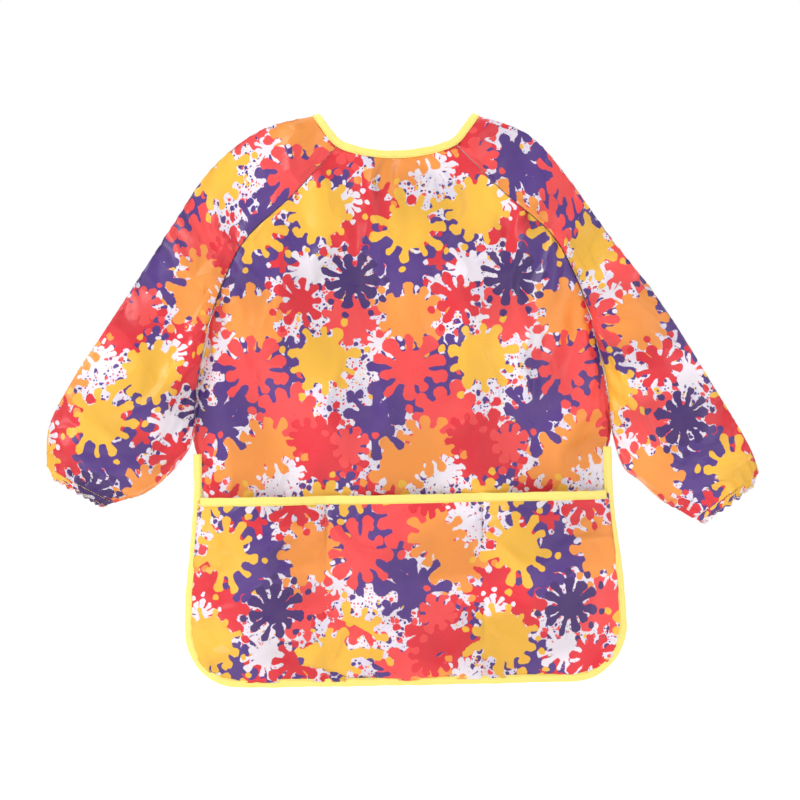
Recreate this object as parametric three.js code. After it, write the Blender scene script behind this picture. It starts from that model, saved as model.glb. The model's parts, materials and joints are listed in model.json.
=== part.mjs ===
// A child's long-sleeved artist smock with an apron skirt and three pockets.
// Millimetres, +Z up, the front faces -Y. The origin is the middle of the neck opening at the height
// of the shoulder tops, so the whole garment hangs below z = 0. Left and right are as seen from the front.
// Every piece is a bent sheet or a bent tube of cloth: a box or a lathed ring whose corners are moved
// onto a surface function.
import * as THREE from "three";

// ---- Cloth and trim ----
const CLOTH = 1.6; // drawn thickness of one layer of coated cloth
const SEAM_GAP = 0.5; // half of the space kept along each seam
const BINDING_WIDTH = 7.4;
const BINDING_PROUD = 0.5; // the folded binding stands this far out from the cloth on both faces
const CUFF_LAYER = 1.0;
const CUFF_START = 0.15; // share of the cuff left clear where it meets the sleeve
const LAYER_GAP = 0.3;

// ---- Torso ----
const FRONT_BOW = 27; // how far the chest stands in front of the side seams
const BACK_BOW = 22;
const NECK_BOW = 17; // the same at the neckline, front and back
const NECK_DROP = 11; // the scoop is lower in its middle than at the raglan seams
const ARMPIT = new THREE.Vector2(183, -203);
const WAIST_WIDTH = 199; // half width where the side seams end
const WAIST_Z = -310;
const SHOULDER_DEPTH = 12; // half depth of the shoulder at the neck
const ARM_DEPTH = 20; // half depth of the sleeve at the armpit
const SEAM_CLOSING = 176; // degrees of the armhole loop that the cap covers on each side of its fold

// ---- Apron skirt ----
const FOLD_BOTTOM_Z = -346; // the skirt swings about the middle of the fold above this line
const SKIRT_TOP_WIDTH = 198;
const HEM_WIDTH = 208.5;
const CORNER_Z = -489; // where the round corners start
const CORNER_X = 158.5;
const HEM_Z = -543;
const HEM_EDGE_FORWARD = 0.25; // the free side edges hang forward by this share of the bow
const HEM_SHARE = 0.35; // shares of the hem binding's half length: the straight hem, then the corner
const CORNER_TURN_SHARE = 0.25;

// ---- Pockets ----
const POCKET_TOP_Z = -363;
const POCKET_BINDING = 8.5;
const DIVIDER_X = 73.5;
const POCKET_BULGE = 13;
const STITCH_WIDTH = 1.4;
const STITCH_HEIGHT = 0.8;
const STITCH_CLEARANCE = 4; // between the ends of a stitched line and the bindings

// ---- Back opening ----
const FLAP_HINGE_X = 50;
const FLAP_HINGE_Y = BACK_BOW + 1.5;
const FLAP_GAP = 0.6;
const FLAP_OPEN = 40; // degrees that each undone flap stands open
const NECK_END_CLEARANCE = 4; // the neck binding stops this far before the hinge line
const CENTRE_GAP = 1.5;
const CLOSURE_HEIGHT = 22;
const CLOSURE_TOP = 0.09; // share of the back's height above the closure
const CLOSURE_REACH = 28; // how far the sewn end of each half lies from the centre
const TAB_OVERLAP = 12; // how far the hook tab reaches over the centre
const TAB_LIFT = 3.2; // the tab's free end lies over the loop patch
const TAB_BEND = [2, 9]; // where the tab steps down to its own flap

// ---- Sleeves: outlines of the spread garment, which isn't laid quite evenly ----
const v2 = (x, z) => new THREE.Vector2(x, z);
const SIDE_CLEARANCE = 1.9; // between the sleeve's inner edge and the side seam
const FOLD_SHARE = 0.12; // share of the sleeve's length that creases when the arm lifts
const FOLD_GAP = 0.003; // the same share, kept clear at the fold's ends
const FOREARM_FULLER = 4; // the forearm is this much deeper than the armpit
const WRIST_FLATTER = 6;
const ELASTIC_SPAN = [0.15, 0.8]; // share of the cuff that the elastic fills
const SLEEVES = {
  right: {
    mirror: 1,
    shoulder: [v2(78.5, -6), v2(125, -25), v2(160, -63), v2(198, -119), v2(238.5, -172)],
    outer: [v2(238.5, -172), v2(267.6, -217), v2(297, -267), v2(328, -322), v2(338, -350)],
    flare: [v2(209, -341), v2(226, -357), v2(246, -377), v2(273, -392)],
    cuff: { outer: v2(334, -361), inner: v2(283, -398) },
  },
  left: {
    mirror: -1,
    shoulder: [v2(78.5, -3), v2(130, -16), v2(177, -52), v2(215, -106), v2(251.5, -160)],
    outer: [v2(251.5, -160), v2(285, -209), v2(312, -249), v2(335, -292), v2(338, -331)],
    flare: [v2(211, -329), v2(229, -348), v2(248, -361), v2(273, -367)],
    cuff: { outer: v2(333, -342), inner: v2(284, -371) },
  },
};

// ---- Materials ----
const finish = (color, roughness) => new THREE.MeshStandardMaterial({ color, roughness, metalness: 0 });
const PRINTED = () => finish(0xf2a04c, 0.45);
const TRIM = () => finish(0xf8e28a, 0.5);
const ELASTIC = () => finish(0xf4f2ec, 0.7);
const THREAD = () => finish(0xf2c14e, 0.6);
const HOOK_AND_LOOP = () => finish(0xf0ead8, 0.9);

const smock = new THREE.Group();
const { lerp, smoothstep, degToRad } = THREE.MathUtils;

// ---- Bending flat stock onto a surface ----
const STEP = 1e-4;

// The surface's point at (u, v), moved along its normal by offset.
function offsetPoint(surface, u, v, offset) {
  const here = surface(u, v);
  const u0 = Math.max(u - STEP, 0);
  const u1 = Math.min(u + STEP, 1);
  const v0 = Math.max(v - STEP, 0);
  const v1 = Math.min(v + STEP, 1);
  const along = surface(u1, v).sub(surface(u0, v));
  const down = surface(u, v1).sub(surface(u, v0));
  return here.addScaledVector(along.cross(down).normalize(), offset);
}

function reshape(geometry, place) {
  const position = geometry.getAttribute("position");
  for (let i = 0; i < position.count; i++) {
    const p = place(position.getX(i), position.getY(i), position.getZ(i));
    position.setXYZ(i, p.x, p.y, p.z);
  }
  geometry.computeVertexNormals();
  return geometry;
}

// A sheet between two offsets along the surface's normal, u across and v down, both 0 to 1.
function sheet(surface, columns, rows, from, to) {
  const flat = new THREE.BoxGeometry(1, 1, 1, columns, rows, 1);
  return reshape(flat, (x, y, z) => offsetPoint(surface, x + 0.5, y + 0.5, lerp(from, to, z + 0.5)));
}

// A tube whose surface(turn, t) goes once round as turn goes 0 to 1; the walls lie between two offsets.
function tube(surface, around, rows, from, to) {
  const profile = [];
  for (let i = 0; i <= rows; i++) profile.push(v2(2, i / rows));
  for (let i = rows; i >= 0; i--) profile.push(v2(1, i / rows));
  profile.push(v2(2, 0));
  const ring = new THREE.LatheGeometry(profile, around);
  return reshape(ring, (x, y, z) => {
    const step = Math.round((Math.atan2(x, z) / (2 * Math.PI)) * around);
    const wall = Math.round(Math.hypot(x, z)) - 1;
    return offsetPoint(surface, ((step + around) % around) / around, y, lerp(from, to, wall));
  });
}

function add(name, geometry, material, group = smock) {
  const mesh = new THREE.Mesh(geometry, material);
  mesh.name = name;
  group.add(mesh);
  return mesh;
}

// ---- Outlines ----
const RAGLAN = new THREE.SplineCurve([v2(57, -34), v2(99, -78), v2(143, -118), v2(165, -156), ARMPIT]);

// Half width of the body below the armpit.
function sideWidth(z) {
  const t = (ARMPIT.y - z) / (ARMPIT.y - WAIST_Z);
  return lerp(ARMPIT.x, WAIST_WIDTH, Math.sin((Math.PI / 2) * Math.min(t, 1)));
}

// The edge of the body: v = 0 at the neck, 0.5 at the armpit, 1 at the waist.
function bodyEdge(v) {
  if (v < 0.5) return RAGLAN.getPoint(2 * v);
  const z = lerp(ARMPIT.y, WAIST_Z, 2 * v - 1);
  return v2(sideWidth(z), z);
}

// The armhole: how far round the shoulder the cap reaches at each height, and its half depth.
const capAngle = (v) => degToRad(lerp(90, SEAM_CLOSING, v * v));
const capDepth = (v) => lerp(SHOULDER_DEPTH, ARM_DEPTH, v);

// Depth of the body at its edge: it meets the cap above the armpit and closes on the side seam below.
const edgeDepth = (v) => (v < 0.5 ? capDepth(2 * v) * Math.sin(capAngle(2 * v)) : LAYER_GAP);

// A point of the torso at the share across (0 in the middle, 1 at the edge); face is -1 front, 1 back.
function torsoPoint(face, across, v) {
  const edge = bodyEdge(v);
  const bow = lerp(NECK_BOW, face < 0 ? FRONT_BOW : BACK_BOW, smoothstep(v, 0, 0.5));
  const closing = Math.min(edgeDepth(v), bow) / bow;
  const depth = bow * Math.sqrt(1 - across * across * (1 - closing * closing));
  const drop = NECK_DROP * (1 - across * across) * (1 - v) ** 3;
  const x = across * (edge.x - SEAM_GAP);
  return new THREE.Vector3(x, face * (depth + LAYER_GAP), edge.y - drop);
}

// ---- Front bodice ----
const turned = (t) => Math.sin((Math.PI / 2) * t); // closes the steps up towards the side seams
add(
  "front_bodice",
  sheet((u, v) => torsoPoint(-1, turned(2 * u - 1), v), 16, 12, 0, CLOTH),
  PRINTED(),
);

// ---- Apron skirt, its fold at the waist and its pockets ----

// Half width of the skirt with its binding.
function skirtWidth(z) {
  if (z > FOLD_BOTTOM_Z) return lerp(WAIST_WIDTH, SKIRT_TOP_WIDTH, (WAIST_Z - z) / (WAIST_Z - FOLD_BOTTOM_Z));
  if (z > CORNER_Z) return lerp(SKIRT_TOP_WIDTH, HEM_WIDTH, smoothstep(-z, -FOLD_BOTTOM_Z, -CORNER_Z));
  const drop = Math.min((CORNER_Z - z) / (CORNER_Z - HEM_Z), 1);
  return CORNER_X + (HEM_WIDTH - CORNER_X) * Math.sqrt(1 - drop * drop);
}

function skirtDepth(x, z) {
  const closing = HEM_EDGE_FORWARD * smoothstep(-z, -WAIST_Z, -CORNER_Z);
  const across = Math.min(Math.abs(x) / HEM_WIDTH, 1);
  return FRONT_BOW * Math.sqrt(1 - across * across * (1 - closing * closing)) + LAYER_GAP;
}

// The skirt's outline inside its binding: v = 0 at the top, then down the side and round the corner.
const CORNER_SHARE = 0.62;
function skirtEdge(v, top) {
  if (v < CORNER_SHARE) {
    const z = lerp(top, CORNER_Z, v / CORNER_SHARE);
    return v2(skirtWidth(z) - BINDING_WIDTH - SEAM_GAP, z);
  }
  const angle = (Math.PI / 2) * ((v - CORNER_SHARE) / (1 - CORNER_SHARE));
  const trim = BINDING_WIDTH + SEAM_GAP;
  const x = CORNER_X + (HEM_WIDTH - CORNER_X - trim) * Math.cos(angle);
  const z = CORNER_Z + (HEM_Z + trim - CORNER_Z) * Math.sin(angle);
  return v2(x, z);
}

add(
  "waist_fold",
  sheet(
    (u, v) => {
      const z = lerp(WAIST_Z - 2 * SEAM_GAP, FOLD_BOTTOM_Z + SEAM_GAP, v);
      const x = turned(2 * u - 1) * (skirtWidth(z) - SEAM_GAP);
      const across = Math.abs(turned(2 * u - 1));
      const closed = FRONT_BOW * Math.sqrt(Math.max(1 - across * across, 0)) + LAYER_GAP;
      return new THREE.Vector3(x, -lerp(closed, skirtDepth(x, z), v), z);
    },
    16,
    2,
    0,
    CLOTH,
  ),
  PRINTED(),
);

add(
  "front_skirt",
  sheet(
    (u, v) => {
      const edge = skirtEdge(v, FOLD_BOTTOM_Z - SEAM_GAP);
      const x = (2 * u - 1) * edge.x;
      return new THREE.Vector3(x, -skirtDepth(x, edge.y), edge.y);
    },
    14,
    8,
    0,
    CLOTH,
  ),
  PRINTED(),
);

// Each of the three pockets bulges in its middle and most at its mouth.
const POCKET_PANEL_TOP = POCKET_TOP_Z - POCKET_BINDING;
function pocketDepth(x, z) {
  const inner = Math.abs(x) < DIVIDER_X;
  const outerEdge = HEM_WIDTH - BINDING_WIDTH;
  const across = inner
    ? (x + DIVIDER_X) / (2 * DIVIDER_X)
    : (Math.abs(x) - DIVIDER_X) / (outerEdge - DIVIDER_X);
  const down = THREE.MathUtils.clamp((POCKET_TOP_Z - z) / (POCKET_TOP_Z - HEM_Z - BINDING_WIDTH), 0, 1);
  const bulge = POCKET_BULGE * Math.sin(Math.PI * Math.min(across, 1)) * (1 - down ** 3);
  return skirtDepth(x, z) + CLOTH + LAYER_GAP + bulge;
}

// Steps across the panel fall on the dividers: eight for each pocket.
function pocketX(u, halfWidth) {
  const at = 3 * (2 * u - 1);
  if (Math.abs(at) <= 1) return at * DIVIDER_X;
  return Math.sign(at) * lerp(DIVIDER_X, halfWidth, (Math.abs(at) - 1) / 2);
}

add(
  "pocket_panel",
  sheet(
    (u, v) => {
      const edge = skirtEdge(v, POCKET_PANEL_TOP);
      const x = pocketX(u, edge.x);
      return new THREE.Vector3(x, -pocketDepth(x, edge.y), edge.y);
    },
    24,
    7,
    -CLOTH / 2,
    CLOTH / 2,
  ),
  PRINTED(),
);

add(
  "pocket_top_binding",
  sheet(
    (u, v) => {
      const z = lerp(POCKET_TOP_Z, POCKET_PANEL_TOP + LAYER_GAP, v);
      const x = pocketX(u, skirtWidth(z) - BINDING_WIDTH - SEAM_GAP);
      return new THREE.Vector3(x, -pocketDepth(x, z), z);
    },
    24,
    1,
    -CLOTH / 2 - BINDING_PROUD,
    CLOTH / 2,
  ),
  TRIM(),
);

for (const [name, side] of [["left", -1], ["right", 1]]) {
  add(
    "pocket_divider_stitching_" + name,
    sheet(
      (u, v) => {
        const z = lerp(POCKET_PANEL_TOP - STITCH_CLEARANCE, HEM_Z + BINDING_WIDTH + STITCH_CLEARANCE, v);
        const x = side * DIVIDER_X + STITCH_WIDTH * (u - 0.5);
        return new THREE.Vector3(x, -pocketDepth(x, z) - CLOTH, z);
      },
      1,
      8,
      -STITCH_HEIGHT / 2,
      STITCH_HEIGHT / 2,
    ),
    THREAD(),
  );
}

// The hem binding: down one side, round the corner, along the hem and up the other side.
function hemOutline(t, inset) {
  const side = Math.sign(t - 0.5) || 1;
  const half = Math.abs(2 * t - 1); // 1 at the top of a side, 0 in the middle of the hem
  const cornerEnd = HEM_SHARE + CORNER_TURN_SHARE;
  const reachX = HEM_WIDTH - CORNER_X - inset;
  const reachZ = CORNER_Z - HEM_Z - inset;
  if (half < HEM_SHARE) return v2((side * CORNER_X * half) / HEM_SHARE, HEM_Z + inset);
  if (half < cornerEnd) {
    const angle = (Math.PI / 2) * ((half - HEM_SHARE) / CORNER_TURN_SHARE);
    return v2(side * (CORNER_X + reachX * Math.sin(angle)), CORNER_Z - reachZ * Math.cos(angle));
  }
  const z = lerp(CORNER_Z, FOLD_BOTTOM_Z - SEAM_GAP, (half - cornerEnd) / (1 - cornerEnd));
  return v2(side * (skirtWidth(z) - inset), z);
}

add(
  "hem_binding",
  sheet(
    (u, v) => {
      const p = hemOutline(u, lerp(BINDING_WIDTH, 0, v));
      return new THREE.Vector3(p.x, -skirtDepth(p.x, p.y), p.y);
    },
    46,
    1,
    -BINDING_PROUD - CLOTH,
    CLOTH + BINDING_PROUD,
  ),
  TRIM(),
);

// ---- Neck binding ----

const EDGE_STEP = 0.01;
const NECK_INWARD = 0.06; // share of the body's height, used to find which way the cloth faces at the neck

// A binding's cross section goes on from the cloth's edge, square to it, for the binding's width.
function bindingPoint(edge, inward, t, v) {
  const here = edge(t);
  const before = edge(Math.max(t - EDGE_STEP, 0));
  const after = edge(Math.min(t + EDGE_STEP, 1));
  const along = after.sub(before).normalize();
  const out = here.clone().sub(inward(t));
  out.addScaledVector(along, -out.dot(along)).normalize();
  return here.addScaledVector(out, lerp(SEAM_GAP, BINDING_WIDTH, v));
}

// A point of the raglan shoulder: s = 0 at the front seam, 0.5 on the fold, 1 at the back seam.
function capPoint(sleeve, s, v) {
  const seam = RAGLAN.getPoint(v);
  const fold = sleeve.shoulderCurve.getPoint(v);
  const reach = capAngle(v);
  const centre = fold.clone().multiplyScalar(-Math.cos(reach)).add(seam).divideScalar(1 - Math.cos(reach));
  const angle = reach * (1 - 2 * s);
  const p = centre.clone().lerp(fold, Math.cos(angle));
  return new THREE.Vector3(p.x + SEAM_GAP * Math.abs(1 - 2 * s), -capDepth(v) * Math.sin(angle), p.y);
}

for (const sleeve of Object.values(SLEEVES)) sleeve.shoulderCurve = new THREE.SplineCurve(sleeve.shoulder);

// The neckline in five stretches: left back, left shoulder, front scoop, right shoulder, right back.
function neckEdge(t, v) {
  const stretch = Math.min(Math.floor(5 * t), 4);
  const s = 5 * t - stretch;
  const hinge = (FLAP_HINGE_X + NECK_END_CLEARANCE) / RAGLAN.getPoint(0).x;
  if (stretch === 0) return torsoPoint(1, -lerp(hinge, 1, s), v);
  if (stretch === 1) return capPoint(SLEEVES.left, 1 - s, v).multiply(new THREE.Vector3(-1, 1, 1));
  if (stretch === 2) return torsoPoint(-1, 2 * s - 1, v);
  if (stretch === 3) return capPoint(SLEEVES.right, s, v);
  return torsoPoint(1, lerp(1, hinge, s), v);
}

add(
  "neck_binding",
  sheet(
    (u, v) => bindingPoint((t) => neckEdge(t, 0), (t) => neckEdge(t, NECK_INWARD), u, 1 - v),
    40,
    1,
    -BINDING_PROUD,
    CLOTH + BINDING_PROUD,
  ),
  TRIM(),
);

// ---- Back panels, sleeves and cuffs, one of each a side ----
function backAcross(v, x) {
  return Math.asin(Math.min(x / (bodyEdge(v).x - SEAM_GAP), 1));
}

for (const [name, sleeve] of Object.entries(SLEEVES)) {
  const side = new THREE.Group();
  side.scale.x = sleeve.mirror;
  smock.add(side);

  // The raglan shoulder, sewn to the front and the back from the neck to the armpit.
  add(
    name + "_sleeve_shoulder",
    sheet((u, v) => capPoint(sleeve, u, v), 14, 6, 0, CLOTH),
    PRINTED(),
    side,
  );

  // The sleeve hangs from the armpit line and is widest at the forearm.
  const sideSeam = [0, 0.25, 0.6].map((t) => {
    const z = lerp(ARMPIT.y, WAIST_Z, t);
    return v2(sideWidth(z) + SIDE_CLEARANCE, z);
  });
  const inner = new THREE.SplineCurve([...sideSeam, v2(WAIST_WIDTH + SIDE_CLEARANCE, -308), ...sleeve.flare]);
  const outer = new THREE.SplineCurve(sleeve.outer);
  const sleevePoint = (turn, t) => {
    const a = inner.getPointAt(t);
    const b = outer.getPointAt(t);
    const angle = 2 * Math.PI * turn;
    const depth = ARM_DEPTH + FOREARM_FULLER * Math.sin(Math.PI * t) - WRIST_FLATTER * smoothstep(t, 0.75, 1);
    const p = a.clone().lerp(b, (1 + Math.cos(angle)) / 2);
    return new THREE.Vector3(p.x, -depth * Math.sin(angle), p.y);
  };
  const stretch = (surface, from, to) => (turn, t) => surface(turn, lerp(from, to, t));
  add(
    name + "_sleeve_fold",
    tube(stretch(sleevePoint, 2 * FOLD_GAP, FOLD_SHARE - FOLD_GAP), 16, 1, -CLOTH, 0),
    PRINTED(),
    side,
  );
  add(
    name + "_sleeve",
    tube(stretch(sleevePoint, FOLD_SHARE, 1), 16, 8, -CLOTH, 0),
    PRINTED(),
    side,
  );

  // The cuff: the sleeve's end, the elastic in its casing and the turned-in hem inside.
  const cuffPoint = (turn, t) => {
    const a = inner.getPointAt(1).lerp(sleeve.cuff.inner, lerp(CUFF_START, 1, t));
    const b = outer.getPointAt(1).lerp(sleeve.cuff.outer, lerp(CUFF_START, 1, t));
    const angle = 2 * Math.PI * turn;
    const p = a.clone().lerp(b, (1 + Math.cos(angle)) / 2);
    return new THREE.Vector3(p.x, -(ARM_DEPTH - WRIST_FLATTER) * Math.sin(angle), p.y);
  };
  const layers = [["cuff_casing", PRINTED()], ["cuff_elastic", ELASTIC()], ["cuff_hem", PRINTED()]];
  layers.forEach(([layer, material], i) => {
    const outside = -i * (CUFF_LAYER + LAYER_GAP);
    const span = layer === "cuff_elastic" ? stretch(cuffPoint, ...ELASTIC_SPAN) : cuffPoint;
    add(name + "_" + layer, tube(span, 16, 1, outside - CUFF_LAYER, outside), material, side);
  });

  // The fixed half of the back, from the flap's hinge to the side seam, with its bound hem.
  const backPoint = (x0, x1, u, v) => {
    const angle = lerp(backAcross(v, x0), x1 ? backAcross(v, x1) : Math.PI / 2, u);
    return torsoPoint(1, Math.sin(angle), v);
  };
  add(
    name + "_back_panel",
    sheet((u, v) => backPoint(FLAP_HINGE_X + FLAP_GAP, 0, u, v), 6, 12, -CLOTH, 0),
    PRINTED(),
    side,
  );
  const below = (point, v) => point.add(new THREE.Vector3(0, 0, -lerp(SEAM_GAP, BINDING_WIDTH, v)));
  add(
    name + "_back_hem_binding",
    sheet(
      (u, v) => below(backPoint(FLAP_HINGE_X + FLAP_GAP, sideWidth(WAIST_Z) - 2, u, 1), v),
      6,
      1,
      -CLOTH - BINDING_PROUD,
      BINDING_PROUD,
    ),
    TRIM(),
    side,
  );

  // The flap beside the back opening swings on a vertical line and stands open when undone.
  const hinge = new THREE.Group();
  hinge.position.set(FLAP_HINGE_X, FLAP_HINGE_Y, 0);
  hinge.rotation.z = -degToRad(FLAP_OPEN);
  side.add(hinge);
  const flap = new THREE.Group();
  flap.position.copy(hinge.position).negate();
  hinge.add(flap);
  const flapStart = CENTRE_GAP + BINDING_WIDTH + SEAM_GAP;
  const flapEnd = FLAP_HINGE_X - FLAP_GAP;
  const flapPoint = (u, v) => backPoint(flapStart, flapEnd, u, v);
  add(name + "_back_flap", sheet(flapPoint, 2, 12, -CLOTH, 0), PRINTED(), flap);
  add(
    name + "_flap_edge_binding",
    sheet(
      (u, v) => backPoint(CENTRE_GAP, flapStart - SEAM_GAP, u, v),
      1,
      12,
      -CLOTH - BINDING_PROUD,
      BINDING_PROUD,
    ),
    TRIM(),
    flap,
  );
  add(
    name + "_flap_neck_binding",
    sheet(
      (u, v) => backPoint(CENTRE_GAP, flapEnd, u, 0).add(new THREE.Vector3(0, 0, lerp(BINDING_WIDTH, SEAM_GAP, v))),
      4,
      1,
      -CLOTH - BINDING_PROUD,
      BINDING_PROUD,
    ),
    TRIM(),
    flap,
  );
  add(
    name + "_flap_hem_binding",
    sheet((u, v) => below(backPoint(CENTRE_GAP, flapEnd, u, 1), v), 4, 1, -CLOTH - BINDING_PROUD, BINDING_PROUD),
    TRIM(),
    flap,
  );

  // Hook and loop at the neck: the loop patch is sewn to the right flap, and the hook tab to the left
  // one, where it reaches over the opening.
  const closureV = (v) => lerp(CLOSURE_TOP, CLOSURE_TOP + CLOSURE_HEIGHT / -WAIST_Z, v);
  const closureX = name === "right" ? [flapStart + 1, CLOSURE_REACH] : [-TAB_OVERLAP, CLOSURE_REACH];
  const tabLift = (x) => lerp(TAB_LIFT, LAYER_GAP + BINDING_PROUD, smoothstep(x, ...TAB_BEND));
  const lift = name === "right" ? () => LAYER_GAP : tabLift;
  add(
    name === "right" ? "loop_patch" : "hook_tab",
    sheet(
      (u, v) => {
        const x = lerp(closureX[0], closureX[1], u);
        const across = x / bodyEdge(closureV(v)).x;
        return torsoPoint(1, across, closureV(v)).add(new THREE.Vector3(0, lift(x), 0));
      },
      8,
      2,
      0,
      1,
    ),
    HOOK_AND_LOOP(),
    flap,
  );
}

export default smock;
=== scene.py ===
# %% [markdown]
# # A child's painting smock
# A long-sleeved smock of thin coated cloth, printed all over with paint splashes and edged with folded
# yellow tape. It hangs as if worn. The frame gives the size and place of every piece and says how the
# sleeves, the apron skirt and the back flaps move. This lesson makes the cloth itself: curved panels with
# real thickness, settled by a cloth simulation, a printed pattern made of nodes, and sewn stitches.

# %% Load the frame
import json
import math

import bmesh
import bpy
import numpy as np
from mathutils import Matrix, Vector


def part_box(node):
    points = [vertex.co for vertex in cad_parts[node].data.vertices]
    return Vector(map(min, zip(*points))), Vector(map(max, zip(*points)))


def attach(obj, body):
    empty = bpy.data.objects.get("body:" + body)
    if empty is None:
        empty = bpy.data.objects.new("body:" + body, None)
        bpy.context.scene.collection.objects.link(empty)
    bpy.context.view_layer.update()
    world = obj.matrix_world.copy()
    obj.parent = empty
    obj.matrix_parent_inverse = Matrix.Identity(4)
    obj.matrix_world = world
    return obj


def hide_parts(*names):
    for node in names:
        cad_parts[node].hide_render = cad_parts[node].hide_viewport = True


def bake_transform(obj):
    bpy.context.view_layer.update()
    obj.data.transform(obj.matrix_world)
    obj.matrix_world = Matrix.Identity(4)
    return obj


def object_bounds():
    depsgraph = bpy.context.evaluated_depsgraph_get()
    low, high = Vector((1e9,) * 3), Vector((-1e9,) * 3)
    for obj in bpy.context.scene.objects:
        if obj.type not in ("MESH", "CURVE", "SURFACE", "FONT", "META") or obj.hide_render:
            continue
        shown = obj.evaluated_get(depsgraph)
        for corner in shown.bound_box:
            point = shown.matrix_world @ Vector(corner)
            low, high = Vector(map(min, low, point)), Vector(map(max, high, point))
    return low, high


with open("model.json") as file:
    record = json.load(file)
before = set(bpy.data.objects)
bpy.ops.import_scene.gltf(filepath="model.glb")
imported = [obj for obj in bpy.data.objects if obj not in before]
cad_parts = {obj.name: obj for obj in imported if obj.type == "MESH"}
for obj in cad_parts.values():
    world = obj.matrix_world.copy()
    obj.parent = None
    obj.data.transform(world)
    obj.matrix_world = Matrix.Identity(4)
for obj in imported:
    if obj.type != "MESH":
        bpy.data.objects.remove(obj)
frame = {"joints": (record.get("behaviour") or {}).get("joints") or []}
JOINTS = frame["joints"]
cad_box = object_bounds()
print("frame box", cad_box)

# %% [markdown]
# ## The camera
# The smock is seen straight from the front. A long lens from three metres away keeps the sleeves and the
# chest at one scale, where a short lens would swell the middle. A small roll follows the way the cloth was
# laid down.
# %% Camera
scene = bpy.context.scene
VIEW_WIDTH = 0.76
CAMERA_DISTANCE = 3.0
SENSOR = 0.036
ROLL = math.radians(1.1)
VIEW_CENTRE = (-0.0014, -0.2743)

camera_data = bpy.data.cameras.new("camera")
camera_data.sensor_width = SENSOR * 1000
camera_data.lens = SENSOR * 1000 * CAMERA_DISTANCE / VIEW_WIDTH
camera = bpy.data.objects.new("camera", camera_data)
camera.location = (VIEW_CENTRE[0], -CAMERA_DISTANCE, VIEW_CENTRE[1])
camera.rotation_euler = (math.pi / 2, ROLL, 0)
scene.collection.objects.link(camera)
scene.camera = camera
print("lens", round(camera_data.lens, 1), "mm")

# %% [markdown]
# ## The light
# White light from the world fills every fold, and four soft lamps shape the cloth. A world of one plain
# white would wash the colours out. Light Path tells which rays come straight from the camera, so the
# backdrop stays white while the room lights the cloth a little less.

# %% Light
AMBIENT = 0.7  # how bright the room is for everything but the camera
LAMP_AIM = np.array((0, 0, -0.3))
LAMPS = {  # place, size and power
    "key_lamp": ((-2.1, -1.1, 1.2), 0.45, 26),
    "fill_lamp": ((1.7, -1.2, 0.3), 0.5, 5),
    "back_lamp": ((0.9, 1.9, 1.2), 1.2, 7),
    "top_lamp": ((0, 0.3, 2.4), 2.0, 22),
}
scene.view_settings.view_transform = "Standard"
scene.view_settings.look = "None"

world = bpy.data.worlds.new("studio")
world.use_nodes = True
scene.world = world
background = world.node_tree.nodes["Background"]
background.inputs["Color"].default_value = (1, 1, 1, 1)
rays = world.node_tree.nodes.new("ShaderNodeLightPath")
level = world.node_tree.nodes.new("ShaderNodeMath")
level.operation = "MULTIPLY_ADD"
level.inputs[1].default_value = 1 - AMBIENT
level.inputs[2].default_value = AMBIENT
world.node_tree.links.new(rays.outputs["Is Camera Ray"], level.inputs[0])
world.node_tree.links.new(level.outputs[0], background.inputs["Strength"])

for name, (place, size, watts) in LAMPS.items():
    data = bpy.data.lights.new(name, "AREA")
    data.shape = "SQUARE"
    data.size = size
    data.energy = watts
    lamp = bpy.data.objects.new(name, data)
    lamp.location = place
    aim = LAMP_AIM - np.array(place)
    lamp.rotation_euler = (math.acos(-aim[2] / np.linalg.norm(aim)), 0, math.atan2(aim[1], aim[0]) - math.pi / 2)
    scene.collection.objects.link(lamp)
print(len(LAMPS), "lamps")

# %% [markdown]
# ## The floor
# A pale plane lies a little below the hem and gives some light back from underneath. It could be any white
# sheet. It glows faintly, so that it melts into the white of the world.

# %% Floor
FLOOR_DROP = 0.05  # the hem hangs this far above the floor
FLOOR_HALF = 2.2


def floor():
    z = cad_box[0][2] - FLOOR_DROP
    corners = [(x * FLOOR_HALF, y * FLOOR_HALF, z) for x, y in ((-1, -1), (1, -1), (1, 1), (-1, 1))]
    mesh = bpy.data.meshes.new("floor")
    mesh.from_pydata(corners, [], [(0, 1, 2, 3)])
    ground = bpy.data.objects.new("floor", mesh)
    paint = bpy.data.materials.new("pale_floor")
    paint.use_nodes = True
    shader = paint.node_tree.nodes["Principled BSDF"]
    shader.inputs["Base Color"].default_value = (0.95, 0.95, 0.95, 1)
    shader.inputs["Roughness"].default_value = 0.8
    shader.inputs["Emission Color"].default_value = (1, 1, 1, 1)
    shader.inputs["Emission Strength"].default_value = 0.2
    mesh.materials.append(paint)
    scene.collection.objects.link(ground)
    print("floor at", round(z, 3), "m")


floor()

# %% [markdown]
# ## Wiring helpers
# A node tree is easier to read as sums. These helpers make a node, set it up and wire values or other nodes'
# outputs into it, so that a whole formula fits on a line.

# %% Node helpers
def wire(tree, socket, value):
    if isinstance(value, bpy.types.NodeSocket):
        tree.links.new(value, socket)
    else:
        socket.default_value = value


def add(tree, kind, inputs=(), **settings):
    """A new node; inputs gives a value or another node's output for the name or number of a socket."""
    node = tree.nodes.new(kind)
    for label, value in settings.items():
        setattr(node, label, value)
    for label, value in dict(inputs).items():
        wire(tree, node.inputs[label], value)
    return node


def calc(tree, operation, *values):
    return add(tree, "ShaderNodeMath", enumerate(values), operation=operation).outputs[0]


def vector(tree, operation, *values):
    node = add(tree, "ShaderNodeVectorMath", enumerate(values), operation=operation)
    return node.outputs["Value" if operation == "LENGTH" else "Vector"]


def mix(tree, factor, first, second):
    return add(tree, "ShaderNodeMix", {"Factor": factor, 6: first, 7: second}, data_type="RGBA").outputs[2]


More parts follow.
